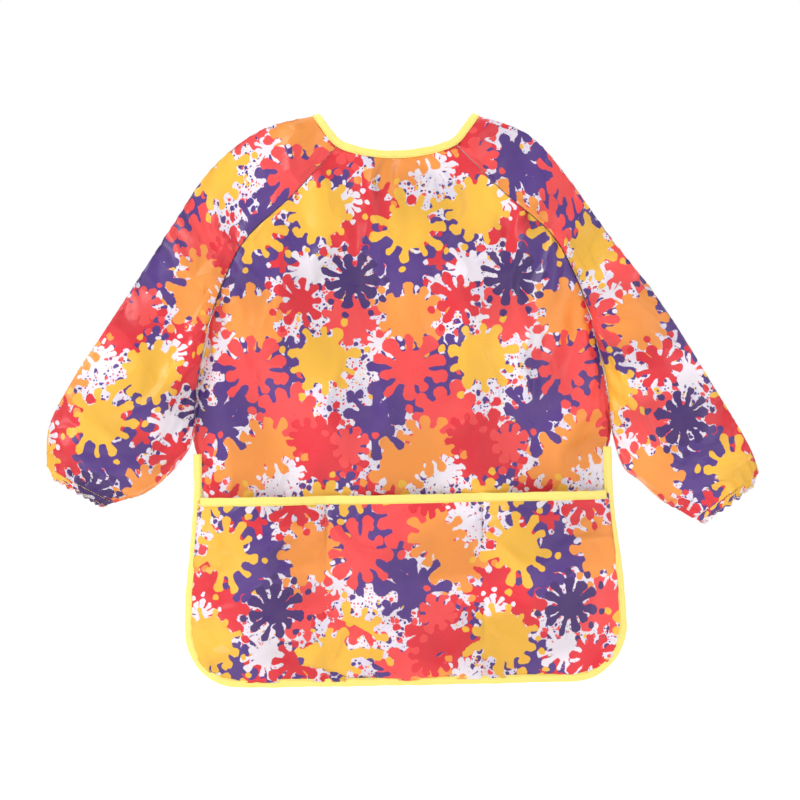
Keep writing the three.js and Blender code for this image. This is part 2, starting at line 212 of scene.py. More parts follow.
def ramp(tree, value, low, high):
    """0 below low, 1 above high, straight between."""
    return add(tree, "ShaderNodeMapRange", {"Value": value, "From Min": low, "From Max": high}).outputs["Result"]


def spread(tree, share, ends):
    """A share from 0 to 1 becomes a value between two ends."""
    return calc(tree, "MULTIPLY_ADD", share, ends[1] - ends[0], ends[0])


def new_group(name, inputs, outputs):
    """A group; inputs gives each number's default, and None for a vector; outputs gives kinds."""
    tree = bpy.data.node_groups.new(name, "ShaderNodeTree")
    for label, value in inputs.items():
        kind = "NodeSocketVector" if value is None else "NodeSocketFloat"
        socket = tree.interface.new_socket(name=label, in_out="INPUT", socket_type=kind)
        if value is not None:
            socket.default_value = value
    for label, kind in outputs.items():
        tree.interface.new_socket(name=label, in_out="OUTPUT", socket_type="NodeSocket" + kind)
    return tree, tree.nodes.new("NodeGroupInput").outputs, tree.nodes.new("NodeGroupOutput").inputs


def place_group(tree, group, **values):
    inputs = {label.replace("_", " "): value for label, value in values.items()}
    return add(tree, "ShaderNodeGroup", inputs, node_tree=group)


def srgb(red, green, blue):
    """A screen colour, 0 to 255, as the linear colour that Blender's sockets take."""

    def linear(c):
        c /= 255
        return c / 12.92 if c <= 0.04045 else ((c + 0.055) / 1.055) ** 2.4

    return (linear(red), linear(green), linear(blue), 1)

# %% [markdown]
# ## One splash of paint
# A splash is a round blot with blunt fingers thrown out all round. Drawing each finger by itself would
# take hundreds of nodes. Instead the circle is cut into equal slices, and one finger is drawn in the slice
# that the point lies in. White noise, read with the slice's number, gives each finger its own length,
# width and lean, and a smooth minimum melts it into the blot.

# %% Splash group
REPEAT = (0.1482, 0.2812, 1)  # the print repeats after this much cloth across and down
HALF_REPEAT = tuple(r / 2 for r in REPEAT)
SOFT_EDGE = 0.0003
LEAN = (0.3, 0.7)  # where in its slice a finger points
LENGTH = (0.3, 1.05)  # how far a finger goes of the way from the blot to the full reach
WIDTH = (0.75, 1.45)  # how wide it is, against the width asked for
TAPER = (0.5, 1.12)  # its width at the root and at the tip
MELT = 1.2  # widths over which it melts into the blot
DROP_GAP, DROP_SIZE = 2.4, 0.7  # a loose drop beyond the tip, in finger widths
NO_DROP = 0.62  # share of fingers without such a drop


def hypotenuse(tree, x, y):
    return calc(tree, "SQRT", calc(tree, "ADD", calc(tree, "POWER", x, 2), calc(tree, "POWER", y, 2)))


def splash_group():
    inputs = {"Place": None, "Centre": None, "Core": 0.02, "Reach": 0.03, "Finger": 0.003, "Fingers": 10, "Seed": 0}
    tree, given, out = new_group("paint_splash", inputs, {"Mask": "Float"})
    away = vector(tree, "SUBTRACT", given["Place"], given["Centre"])
    away = vector(tree, "WRAP", away, HALF_REPEAT, tuple(-h for h in HALF_REPEAT))
    x, y, _ = add(tree, "ShaderNodeSeparateXYZ", {0: away}).outputs
    radius = vector(tree, "LENGTH", add(tree, "ShaderNodeCombineXYZ", {0: x, 1: y}).outputs[0])
    angle = calc(tree, "ADD", calc(tree, "ARCTAN2", y, x), math.pi)
    slice_angle = calc(tree, "DIVIDE", 2 * math.pi, given["Fingers"])
    number = calc(tree, "FLOOR", calc(tree, "DIVIDE", angle, slice_angle))
    key = add(tree, "ShaderNodeCombineXYZ", {0: number, 1: given["Seed"]}).outputs[0]
    chance = add(tree, "ShaderNodeTexWhiteNoise", {"Vector": key}, noise_dimensions="2D")
    length_dice, width_dice, lean_dice = add(tree, "ShaderNodeSeparateColor", {0: chance.outputs["Color"]}).outputs

    middle = calc(tree, "ADD", number, spread(tree, lean_dice, LEAN))
    turn = calc(tree, "SUBTRACT", angle, calc(tree, "MULTIPLY", middle, slice_angle))
    along = calc(tree, "MULTIPLY", radius, calc(tree, "COSINE", turn))
    across = calc(tree, "MULTIPLY", radius, calc(tree, "SINE", turn))
    spare = calc(tree, "SUBTRACT", given["Reach"], given["Core"])
    length = calc(tree, "MULTIPLY_ADD", spare, spread(tree, length_dice, LENGTH), given["Core"])
    nearest = calc(tree, "MINIMUM", calc(tree, "MAXIMUM", along, 0), length)
    gap = hypotenuse(tree, calc(tree, "SUBTRACT", along, nearest), across)
    swell = spread(tree, calc(tree, "POWER", calc(tree, "DIVIDE", nearest, length), 3), TAPER)
    width = calc(tree, "MULTIPLY", given["Finger"], spread(tree, width_dice, WIDTH))
    finger = calc(tree, "SUBTRACT", gap, calc(tree, "MULTIPLY", width, swell))
    blot = calc(tree, "SUBTRACT", radius, given["Core"])
    edge = calc(tree, "SMOOTH_MIN", finger, blot, calc(tree, "MULTIPLY", given["Finger"], MELT))

    drop_at = calc(tree, "SUBTRACT", along, calc(tree, "MULTIPLY_ADD", width, DROP_GAP, length))
    drop = calc(tree, "SUBTRACT", hypotenuse(tree, drop_at, across), calc(tree, "MULTIPLY", width, DROP_SIZE))
    skipped = calc(tree, "LESS_THAN", width_dice, NO_DROP)
    edge = calc(tree, "MINIMUM", edge, calc(tree, "ADD", drop, skipped))
    wire(tree, out["Mask"], ramp(tree, edge, SOFT_EDGE, -SOFT_EDGE))
    return tree


SPLASH = splash_group()
print("splash group:", len(SPLASH.nodes), "nodes")

# %% [markdown]
# ## The printed pattern
# The print is a list of splashes, laid one over the other as a screen printer would lay colours: big red
# and purple grounds first, then orange, then white flicks, then the bright yellow blots. Each line holds a
# colour, a centre, the size of the blot, how far its fingers reach, and their width and number. The list
# is one repeat, and the group wraps every splash round it, so the cloth has no edges to the pattern.

# %% Print colours and splashes
YELLOW = srgb(255, 194, 62)
ORANGE = srgb(255, 156, 66)
RED = srgb(232, 36, 56)
CORAL = srgb(250, 72, 76)
PURPLE = srgb(80, 50, 136)
DEEP_PURPLE = srgb(64, 36, 114)
WHITE = srgb(246, 238, 248)
LILAC = srgb(232, 226, 246)

# colour, centre across, centre down, core, reach, finger width, fingers (millimetres)
SPLASHES = [
    (RED, 112, 66, 27, 38, 4.5, 12),
    (PURPLE, 12, 216, 33, 44, 5.0, 13),
    (CORAL, 42, 262, 27, 38, 4.5, 12),
    (RED, 78, 6, 25, 36, 4.2, 12),
    (RED, 38, 100, 15, 26, 3.6, 9),
    (PURPLE, 52, 84, 13, 22, 4.0, 7),
    (PURPLE, 132, 96, 12, 24, 4.0, 7),
    (PURPLE, 92, 36, 8, 18, 3.2, 7),
    (PURPLE, 4, 116, 18, 29, 4.6, 9),
    (CORAL, 100, 161, 18, 28, 4.2, 10),
    (PURPLE, 52, 196, 12, 24, 3.8, 8),
    (ORANGE, 8, 160, 21, 30, 4.0, 11),
    (ORANGE, 146, 16, 20, 29, 3.8, 10),
    (WHITE, 62, 116, 10, 21, 2.6, 11),
    (WHITE, 98, 52, 7, 16, 2.4, 11),
    (WHITE, 34, 22, 8, 19, 2.4, 12),
    (WHITE, 128, 184, 6, 15, 2.2, 10),
    (CORAL, 7, 208, 16, 31, 4.8, 10),
    (PURPLE, 120, 258, 16, 33, 4.8, 9),
    (ORANGE, 22, 279, 16, 29, 4.0, 10),
    (RED, 58, 272, 11, 21, 3.6, 9),
    (CORAL, 98, 279, 10, 17, 3.6, 8),
    (YELLOW, 74, 61, 23, 31, 3.4, 12),
    (YELLOW, 9, 77, 20, 34, 3.4, 11),
    (YELLOW, 74, 199, 22, 34, 3.8, 10),
    (DEEP_PURPLE, 103, 125, 12, 27, 3.8, 11),
    (RED, 55, 144, 11, 23, 3.6, 9),
]
print(len(SPLASHES), "splashes in a repeat of", REPEAT[:2], "m")

# %% [markdown]
# ## Laying the colours down
# The ground is lilac white with tiny flecks of ink in two sizes, the spatter of the big blots. A Voronoi
# texture cuts the cloth into cells, and each cell's own chance sets its fleck's size and ink. Then every
# splash of the list goes on in turn. A little noise moves the place first, so that no edge is too smooth.

# %% Print group
FLECKS = ((150, -0.12, 0.62), (330, -0.2, 0.6))  # cells in a metre, least size, and what chance adds
WOBBLE = (0.0058, 0.0058, 0)
FLECK_EDGE = 0.05


def wander(tree, place, noise, amount):
    """The place moved about by a noise, so that what is drawn there wanders."""
    shift = vector(tree, "SUBTRACT", noise.outputs["Color"], (0.5, 0.5, 0.5))
    shift = vector(tree, "MULTIPLY", shift, amount)
    return vector(tree, "ADD", place, shift)


def print_group():
    tree, given, out = new_group("splash_print", {"Cloth": None}, {"Color": "Color"})
    cloth = given["Cloth"]
    wobble = add(tree, "ShaderNodeTexNoise", {"Scale": 110, "Detail": 2, "Vector": cloth})
    place = wander(tree, cloth, wobble, WOBBLE)
    patchy = add(tree, "ShaderNodeTexNoise", {"Scale": 40, "Vector": cloth})
    colour = mix(tree, ramp(tree, patchy.outputs["Fac"], 0.4, 0.6), LILAC, WHITE)
    for scale, least, share in FLECKS:
        fleck = add(tree, "ShaderNodeTexVoronoi", {"Scale": scale, "Vector": place}, voronoi_dimensions="2D")
        chance = add(tree, "ShaderNodeSeparateColor", {0: fleck.outputs["Color"]}).outputs
        size = calc(tree, "MULTIPLY_ADD", chance[0], share, least)
        inside = calc(tree, "SUBTRACT", fleck.outputs["Distance"], size)
        dot = ramp(tree, inside, FLECK_EDGE, -FLECK_EDGE)
        ink = mix(tree, calc(tree, "GREATER_THAN", chance[1], 0.5), PURPLE, CORAL)
        ink = mix(tree, calc(tree, "GREATER_THAN", chance[1], 0.85), ink, YELLOW)
        colour = mix(tree, dot, colour, ink)
    for number, (paint, across, down, core, reach, finger, fingers) in enumerate(SPLASHES):
        sizes = {"Core": core / 1000, "Reach": reach / 1000, "Finger": finger / 1000, "Fingers": fingers}
        centre = (across / 1000, -down / 1000, 0)
        splash = place_group(tree, SPLASH, Place=place, Centre=centre, **sizes, Seed=number + 0.5)
        colour = mix(tree, splash.outputs["Mask"], colour, paint)
    wire(tree, out["Color"], colour)
    return tree


PRINT = print_group()
print("print group:", len(PRINT.nodes), "nodes")

# %% [markdown]
# ## The weave and the sheen
# The cloth is a fine plain weave with a thin waterproof coat. Up close it shows tiny over-and-under
# threads, and the coat gives a soft gloss that varies a little. One group makes the thread height and the
# gloss for every woven material here, each with its own thread spacing.

# %% Weave group
def weave_group():
    inputs = {"Cloth": None, "Threads per metre": 2200}
    tree, given, out = new_group("plain_weave", inputs, {"Height": "Float", "Gloss": "Float"})
    x, y, _ = add(tree, "ShaderNodeSeparateXYZ", {0: given["Cloth"]}).outputs
    turn = calc(tree, "MULTIPLY", given["Threads per metre"], math.pi)
    warp = calc(tree, "SINE", calc(tree, "MULTIPLY", x, turn))
    weft = calc(tree, "SINE", calc(tree, "MULTIPLY", y, turn))
    wire(tree, out["Height"], calc(tree, "MULTIPLY", warp, weft))
    cloudy = add(tree, "ShaderNodeTexNoise", {"Scale": 55, "Detail": 3, "Vector": given["Cloth"]})
    wire(tree, out["Gloss"], cloudy.outputs["Fac"])
    return tree


WEAVE = weave_group()
print("weave group:", len(WEAVE.nodes), "nodes")

# %% [markdown]
# ## Fine creases
# Thin coated cloth keeps small creases from being folded and handled. They are too fine to model, so this
# group draws them as a height: sharp ridges of noise, bent by a second noise so they wander, and faded in
# and out over the cloth so some places stay smooth. The same noise also gives painted shade and highlight,
# darker on one side of each ridge and lighter on the other, as light falling across a fold would make it.

# %% Crease group
WANDER = (0.09, 0.05, 0)
STRETCH = (1.0, 0.55, 1.0)  # creases run longer down the cloth than across it
SHARPNESS = 5


def crease_group():
    tree, given, out = new_group("fine_creases", {"Cloth": None, "Scale": 17}, {"Height": "Float", "Crease_Shade": "Float"})
    cloth = given["Cloth"]
    bend = add(tree, "ShaderNodeTexNoise", {"Scale": 9, "Vector": cloth})
    place = vector(tree, "MULTIPLY", wander(tree, cloth, bend, WANDER), STRETCH)
    lines = {"Detail": 1.5, "Scale": given["Scale"], "Vector": place}
    ridge = add(tree, "ShaderNodeTexNoise", lines, noise_dimensions="2D")
    fold = calc(tree, "ABSOLUTE", calc(tree, "SUBTRACT", ridge.outputs["Fac"], 0.5))
    fold = calc(tree, "SUBTRACT", 1, calc(tree, "MULTIPLY", fold, SHARPNESS))
    fold = calc(tree, "SMOOTH_MAX", fold, 0, 0.4)
    fade = add(tree, "ShaderNodeTexNoise", {"Scale": 5, "Vector": cloth})
    wire(tree, out["Height"], calc(tree, "MULTIPLY", fold, ramp(tree, fade.outputs["Fac"], 0.35, 0.6)))
    # This output is painted shade and painted highlight: it darkens the colour on one side of each crease ridge and
    # lightens it on the other.
    wire(tree, out["Crease_Shade"], ramp(tree, ridge.outputs["Fac"], 0.38, 0.62))
    return tree


CREASES = crease_group()
print("crease group:", len(CREASES.nodes), "nodes")

# %% [markdown]
# ## The finish of a woven cloth
# A cloth could be given one roughness and no relief, and would then look like paper. Here the weave's gloss
# sets the roughness between two ends. Two Bump nodes follow each other, the creases first and the threads
# on top of them, so that close up the threads run over every crease.

# %% Cloth finish
THREAD_HEIGHT = 0.0001


def start_material(name):
    material = bpy.data.materials.new(name)
    material.use_nodes = True
    return material, material.node_tree, material.node_tree.nodes["Principled BSDF"]


def pattern_place(tree, turn=0.0, shift=(0, 0)):
    """The flat cloth's own coordinates in metres, turned and moved as the piece was cut from the roll."""
    flat = add(tree, "ShaderNodeUVMap", uv_map="pattern").outputs["UV"]
    cut = {"Vector": flat, "Rotation": (0, 0, turn), "Location": (*shift, 0)}
    return add(tree, "ShaderNodeMapping", cut).outputs["Vector"]


def weave_finish(tree, shader, place, threads, bump, rough, crease=0.0):
    """Wire roughness and relief; gives back the gloss and the painted shade of the creases (the gloss again where
    there are no creases), which change slowly over the cloth.
    """
    weave = place_group(tree, WEAVE, Cloth=place, Threads_per_metre=threads)
    gloss = weave.outputs["Gloss"]
    wire(tree, shader.inputs["Roughness"], spread(tree, ramp(tree, gloss, 0.3, 0.7), rough))
    relief = {"Strength": bump, "Distance": THREAD_HEIGHT, "Height": weave.outputs["Height"]}
    raised = add(tree, "ShaderNodeBump", relief)
    painted_shade = gloss
    if crease:
        folds = place_group(tree, CREASES, Cloth=place)
        bent = {"Strength": 1.0, "Distance": crease, "Height": folds.outputs["Height"]}
        wire(tree, raised.inputs["Normal"], add(tree, "ShaderNodeBump", bent).outputs["Normal"])
        # the creases' painted shade and highlight, which later darkens and lightens the printed colour
        painted_shade = folds.outputs["Crease_Shade"]
    wire(tree, shader.inputs["Normal"], raised.outputs["Normal"])
    return gloss, painted_shade

# %% [markdown]
# ## The materials
# The printed cloth takes its colour from the print, dulled a little in patches where the ink is thin, and
# darkened and lightened along the creases as painted shade and painted highlight. Each panel was cut from its
# own place on the roll, so each has its own copy with a shift or a turn. Tape, elastic, thread and closure
# share one plainer recipe, with their own thread counts and gloss.

# %% Cloth materials
THIN_INK = (0.5, 0.3, 0.2, 1)
# painted shade and highlight of the creases: the printed colour's value runs between these two ends
CREASE_SHADE_RANGE = (0.82, 1.02)
WORN = 0.86  # the darker places of a plain cloth


def printed_cloth(name, turn=0.0, shift=(0, 0)):
    material, tree, shader = start_material(name)
    place = pattern_place(tree, turn, shift)
    colours = place_group(tree, PRINT, Cloth=place)
    gloss, painted_shade = weave_finish(tree, shader, place, 2200, 0.25, (0.26, 0.4), 0.007)
    shade = mix(tree, calc(tree, "MULTIPLY", gloss, 0.1), colours.outputs["Color"], THIN_INK)
    # painted shade and painted highlight: the crease noise darkens and lightens the printed colour
    crease_shaded = {"Value": spread(tree, painted_shade, CREASE_SHADE_RANGE), "Color": shade}
    wire(tree, shader.inputs["Base Color"], add(tree, "ShaderNodeHueSaturation", crease_shaded).outputs["Color"])
    shader.inputs["Sheen Weight"].default_value = 0.08
    shader.inputs["Specular IOR Level"].default_value = 0.4
    return material


def plain_cloth(name, colour, threads, bump, rough, crease=0.0):
    material, tree, shader = start_material(name)
    gloss, _ = weave_finish(tree, shader, pattern_place(tree), threads, bump, rough, crease)
    darker = tuple(c * WORN for c in colour[:3]) + (1,)
    wire(tree, shader.inputs["Base Color"], mix(tree, calc(tree, "MULTIPLY", gloss, 0.48), colour, darker))
    shader.inputs["Sheen Weight"].default_value = 0.15
    return material


REVERSE_SIDE = plain_cloth("coated_reverse", srgb(234, 226, 232), 2200, 0.3, (0.35, 0.5), 0.005)
TAPE = plain_cloth("yellow_tape", srgb(252, 236, 126), 1600, 0.5, (0.42, 0.55))
ELASTIC = plain_cloth("woven_elastic", srgb(242, 240, 234), 900, 0.8, (0.6, 0.75))
FRONT_PRINT = printed_cloth("print_on_front")
THREAD = plain_cloth("yellow_thread", srgb(244, 208, 96), 5000, 0.4, (0.4, 0.5))
CLOSURE = plain_cloth("hook_and_loop_tape", srgb(240, 234, 216), 700, 1.0, (0.85, 0.95))
SIDE_PRINT = {  # each sleeve was cut at its own angle
    "right": printed_cloth("print_on_right_sleeve", math.radians(118), (0.062, 0.031)),
    "left": printed_cloth("print_on_left_sleeve", math.radians(-62), (0.017, 0.142)),
}
BACK_PRINT = printed_cloth("print_on_back", 0, (0.07, 0.11))
POCKET_PRINT = printed_cloth("print_on_pockets")
print(len(bpy.data.materials), "materials")

# %% [markdown]
# ## The paper pattern
# A garment is drawn before it is cut. These few curves are the whole smock: the raglan seam that slopes
# from the neck to the armpit, the side of the body, and each sleeve's upper and lower edge. Widths, the
# waist, the hem and the pocket top are read from the frame, so the cloth fits the body it will ride.
# All pattern numbers are in millimetres.

# %% Pattern numbers
MM = 0.001


def span(node, axis):
    low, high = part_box(node)
    return low[axis] / MM, high[axis] / MM


HEM_Z = span("hem_binding", 2)[0]
HEM_WIDTH = span("hem_binding", 0)[1]
WAIST_Z = span("front_bodice", 2)[0]
WAIST_WIDTH = span("front_bodice", 0)[1] + 0.5
POCKET_TOP = span("pocket_top_binding", 2)[1]
DIVIDER = sum(span("pocket_divider_stitching_right", 0)) / 2
FLAP_HINGE = (50.0, 23.5)
FLAP_OPEN = math.radians(40)
FRONT_BOW, BACK_BOW, NECK_BOW = 27, 22, 17
ARMPIT = (183.0, -203.0)
CORNER_X, CORNER_Z = 158.5, -489.0
TAPE_WIDTH = 7.4
UNDER_TAPE = TAPE_WIDTH - 3  # the cloth stops this far inside the tape's outer edge
print("hem at", HEM_Z, "waist", WAIST_Z, "by", WAIST_WIDTH, "pocket top", POCKET_TOP, "dividers", DIVIDER)

# %% [markdown]
# ## Smooth curves
# A pattern curve is a few points and a smooth line through them. Bezier curve objects could hold them, but
# a function is easier to ask for the point at any share of the way, which is what the grids need.

# %% Pattern curves
def mixed(a, b, t):
    return a + (b - a) * t


def smooth(x, low, high):
    t = min(max((x - low) / (high - low), 0.0), 1.0)
    return t * t * (3 - 2 * t)


def spline(points, even=False):
    """A smooth curve through the points; even=True walks along it at a steady pace."""
    pts = np.array(points, float)

    def at(t):
        place = (len(pts) - 1) * min(max(t, 0.0), 1.0)
        i = min(int(place), len(pts) - 2)
        w = place - i
        before, here, there = pts[max(i - 1, 0)], pts[i], pts[i + 1]
        after = pts[min(i + 2, len(pts) - 1)]
        v0, v1 = (there - before) / 2, (after - here) / 2
        return (2 * here - 2 * there + v0 + v1) * w**3 + (-3 * here + 3 * there - 2 * v0 - v1) * w**2 + v0 * w + here

    if not even:
        return at
    steps = np.linspace(0, 1, 201)
    path = np.array([at(t) for t in steps])
    walked = np.concatenate([[0], np.cumsum(np.linalg.norm(np.diff(path, axis=0), axis=1))])
    return lambda t: at(np.interp(t * walked[-1], walked, steps))


RAGLAN = spline([(57, -34), (99, -78), (143, -118), (165, -156), ARMPIT])
SLEEVES = {  # the left sleeve lies a little higher and wider than the right one
    "right": {
        "sign": 1,
        "seed": 5,
        "shoulder": spline([(78.5, -6), (125, -25), (160, -63), (198, -119), (238.5, -172)]),
        "outer": spline([(238.5, -172), (267.6, -217), (297, -267), (328, -322), (338, -350)], True),
        "flare": [(209, -341), (226, -357), (246, -377), (273, -392)],
        "cuff": ((283, -398), (334, -361)),
    },
    "left": {
        "sign": -1,
        "seed": 9,
        "shoulder": spline([(78.5, -3), (130, -16), (177, -52), (215, -106), (251.5, -160)]),
        "outer": spline([(251.5, -160), (285, -209), (312, -249), (335, -292), (338, -331)], True),
        "flare": [(211, -329), (229, -348), (248, -361), (273, -367)],
        "cuff": ((284, -371), (333, -342)),
    },
}
print("half way down the raglan seam:", RAGLAN(0.5))

# %% [markdown]
# ## The body's shape
# Laid over a body, the cloth bows forward in the middle and comes in to its sewn edges. An ellipse across
# each row gives that bow, and two numbers, the edge and the depth of the bow, change down the body.

# %% Body shape
def side_width(z):
    t = min((ARMPIT[1] - z) / (ARMPIT[1] - WAIST_Z), 1)
    return mixed(ARMPIT[0], WAIST_WIDTH, math.sin(math.pi / 2 * t))


def body_edge(v):
    """The body's edge: v is 0 at the neck, 0.5 at the armpit and 1 at the waist."""
    if v < 0.5:
        return RAGLAN(2 * v)
    z = mixed(ARMPIT[1], WAIST_Z, 2 * v - 1)
    return np.array((side_width(z), z))


def cap_angle(v):
    """How far round the shoulder the sleeve's cloth reaches, from the neck to the armpit."""
    return math.radians(mixed(90, 176, v * v))


def cap_depth(v):
    return mixed(12, 20, v)


def torso(face, across, v):
    """A point of the body cloth; face is -1 in front and 1 behind, across runs from -1 to 1."""
    x, z = body_edge(v)
    bow = mixed(NECK_BOW, FRONT_BOW if face < 0 else BACK_BOW, smooth(v, 0, 0.5))
    edge = cap_depth(2 * v) * math.sin(cap_angle(2 * v)) if v < 0.5 else 0.3
    closing = min(edge, bow) / bow
    depth = bow * math.sqrt(max(1 - across**2 * (1 - closing**2), 0))
    drop = 11 * (1 - across**2) * (1 - v) ** 3
    return np.array((across * (x - 0.5), face * (depth + 0.3), z - drop))


print("chest at the armpit:", torso(-1, 0, 0.5))

# %% [markdown]
# ## The skirt and the pockets
# The skirt keeps the body's bow, widens to the hem and turns its corners on an ellipse. The pocket cloth
# lies on it and swells between its seams, most at the mouth and not at all at the hem, so each pocket gapes.

# %% Skirt shape
def skirt_width(z):
    if z > CORNER_Z:
        return mixed(198, HEM_WIDTH, smooth(-z, 346, -CORNER_Z))
    drop = min((CORNER_Z - z) / (CORNER_Z - HEM_Z), 1)
    return CORNER_X + (HEM_WIDTH - CORNER_X) * math.sqrt(1 - drop * drop)


def skirt_depth(x, z):
    closing = 0.25 * smooth(-z, -WAIST_Z, -CORNER_Z)
    across = min(abs(x) / HEM_WIDTH, 1)
    return FRONT_BOW * math.sqrt(1 - across**2 * (1 - closing**2)) + 0.3


def pocket_depth(x, z):
    edge = HEM_WIDTH - TAPE_WIDTH
    across = (x + DIVIDER) / (2 * DIVIDER) if abs(x) < DIVIDER else (abs(x) - DIVIDER) / (edge - DIVIDER)
    down = min(max((POCKET_TOP - z) / (POCKET_TOP - HEM_Z - TAPE_WIDTH), 0), 1)
    return skirt_depth(x, z) + 1.9 + 13 * math.sin(math.pi * min(across, 1)) * (1 - down**3)


def edge_walk(v, share, top, side):
    """Down the skirt's side for this share of the way, then round the corner."""
    if v < share:
        z = mixed(top, CORNER_Z, v / share)
        return np.array((side(z), z))
    angle = math.pi / 2 * (v - share) / (1 - share)
    x = CORNER_X + (HEM_WIDTH - CORNER_X - UNDER_TAPE) * math.cos(angle)
    return np.array((x, CORNER_Z + (HEM_Z + UNDER_TAPE - CORNER_Z) * math.sin(angle)))


print("pockets stand", round(pocket_depth(0, POCKET_TOP) - skirt_depth(0, POCKET_TOP), 1), "mm proud")

# %% [markdown]
# ## From a grid of points to a piece of cloth
# Every panel is a grid of points, so it can be simulated, printed and given thickness in one way. The
# printed pattern needs to know where each point lay on the flat cloth. That place is measured along the
# rows and kept as a UV map in metres, so the print never stretches where the panel bends.

# %% Cloth from a grid
def cloth_mesh(name, rows, flat, materials, weld_ends=None):
    """rows[j][i] are points and flat[j][i] their places on the flat cloth, both in millimetres."""
    points = np.array(rows, float) * MM
    count_down, count_across = points.shape[:2]
    joined = weld_ends or (lambda j: False)
    index = np.arange(count_down * count_across).reshape(count_down, count_across)
    for j in range(count_down):
        if joined(j):
            index[j, -1] = index[j, 0]
    used, index = np.unique(index, return_inverse=True)
    index = index.reshape(count_down, count_across)
    faces, places = [], []
    for j in range(count_down - 1):
        for i in range(count_across - 1):
            corners = ((j, i), (j + 1, i), (j + 1, i + 1), (j, i + 1))
            ring = [int(index[c]) for c in corners]
            if len(set(ring)) < 3:
                continue
            keep = [k for k, n in enumerate(ring) if n not in ring[:k]]
            faces.append([ring[k] for k in keep])
            places += [flat[corners[k][0]][corners[k][1]] for k in keep]
    mesh = bpy.data.meshes.new(name)
    mesh.from_pydata(points.reshape(-1, 3)[used].tolist(), [], faces)
    uv = mesh.uv_layers.new(name="pattern")
    uv.data.foreach_set("uv", (np.array(places, float) * MM).ravel())
    for material in materials:
        mesh.materials.append(material)
    mesh.shade_smooth()
    piece = bpy.data.objects.new(name, mesh)
    scene.collection.objects.link(piece)
    return piece, index


def flat_places(rows, centre_column, origin):
    """Where each point lay on the flat cloth: measured along its row from one column, and down that column."""
    points = np.array(rows, float)
    along = np.linalg.norm(np.diff(points, axis=1), axis=2)
    across = np.concatenate([np.zeros((len(points), 1)), np.cumsum(along, axis=1)], axis=1)
    across -= across[:, centre_column : centre_column + 1]
    down = np.linalg.norm(np.diff(points[:, centre_column], axis=0), axis=1)
    down = np.concatenate([[0], np.cumsum(down)])
    return np.stack([across + origin[0], np.broadcast_to(origin[1] - down[:, None], across.shape)], axis=2)


def give_thickness(piece, thickness=0.0006, offset=-1):
    wall = piece.modifiers.new("thickness", "SOLIDIFY")
    wall.thickness = thickness
    wall.offset = offset
    wall.material_offset = 1

# %% [markdown]
# ## The front
# The chest and the apron skirt are one length of cloth. Its top edge scoops under the neck, its upper sides
# follow the raglan seams, and below the waist it runs free to the rounded corners. The cloth dips a little
# along each sewn edge, as stitching draws it in.

# %% Front panel
FRONT_COLUMNS, BODICE_ROWS, SKIRT_ROWS = 84, 66, 52
PRINT_SHIFT = (147, 33)  # where the middle of the neck lies on the printed cloth


def seam_dip(distance, depth=1.3, reach=7):
    return depth * math.exp(-((distance / reach) ** 2))


def skirt_side(z):
    return min(skirt_width(z), WAIST_WIDTH + 12) - UNDER_TAPE * smooth(-z, 310, 330)


def bodice_point(across, v):
    p = torso(-1, across, v)
    p[1] += seam_dip((1 - abs(across)) * body_edge(v)[0])
    return p


def skirt_cloth_point(across, edge):
    x, z = across * edge[0], edge[1]
    closed = FRONT_BOW * math.sqrt(max(1 - across**2, 0)) + 0.3
    return np.array((x, -mixed(closed, skirt_depth(x, z), smooth(-z, -WAIST_Z, 346)), z))


columns = [math.sin(math.pi / 2 * (2 * i / FRONT_COLUMNS - 1)) for i in range(FRONT_COLUMNS + 1)]
rows = [[bodice_point(across, j / BODICE_ROWS) for across in columns] for j in range(BODICE_ROWS)]
for j in range(SKIRT_ROWS + 1):
    edge = edge_walk(j / SKIRT_ROWS, 0.64, WAIST_Z, skirt_side)
    rows.append([skirt_cloth_point(across, edge) for across in columns])
across = flat_places(rows, FRONT_COLUMNS // 2, (0, 0))[:, :, 0]
places = np.stack([across + PRINT_SHIFT[0], np.array(rows)[:, :, 2] + PRINT_SHIFT[1]], axis=2)
front, front_index = cloth_mesh("front_panel", rows, places, (FRONT_PRINT, REVERSE_SIDE))
print("front panel", len(front.data.vertices), "points")

# %% [markdown]
# ## The sleeves
# Each raglan sleeve is one cloth from the neck to the wrist. Its upper part is open, because it is sewn to
# the front and the back, and below the armpit it closes into a tube. Every row is an ellipse between the
# sleeve's inner and outer line. Towards the wrist the cloth is gathered, so the rows begin to ripple.

# %% Sleeve rows
GATHERS = 19
CUFF_DEPTH = 14


def inner_line(sleeve):
    """The sleeve's inner edge: down the body's side, then out to the wrist."""
    heights = (ARMPIT[1], mixed(ARMPIT[1], WAIST_Z, 0.25), mixed(ARMPIT[1], WAIST_Z, 0.6))
    seam = [(side_width(z) - 0.1, z) for z in heights]
    return spline([*seam, (WAIST_WIDTH + 0.3, -308), *sleeve["flare"]], True)


def sleeve_frame(sleeve, t):
    """Middle, outer point, half depth and reach of the row at t: -1 neck, 0 armpit, 1 wrist, 1.2 cuff edge."""
    if t < 0:
        v = 1 + t
        reach = cap_angle(v)
        seam, fold = RAGLAN(v), sleeve["shoulder"](v)
        centre = (seam - fold * math.cos(reach)) / (1 - math.cos(reach))
        return centre, fold, cap_depth(v), reach
    a, b = sleeve["inner"](min(t, 1)), sleeve["outer"](min(t, 1))
    depth = 20 + 4 * math.sin(math.pi * min(t, 1)) - 6 * smooth(t, 0.75, 1)
    if t > 1:
        share = (t - 1) / 0.2
        a = mixed(a, np.array(sleeve["cuff"][0]), share)
        b = mixed(b, np.array(sleeve["cuff"][1]), share)
        depth = CUFF_DEPTH
    return (a + b) / 2, b, depth, math.pi


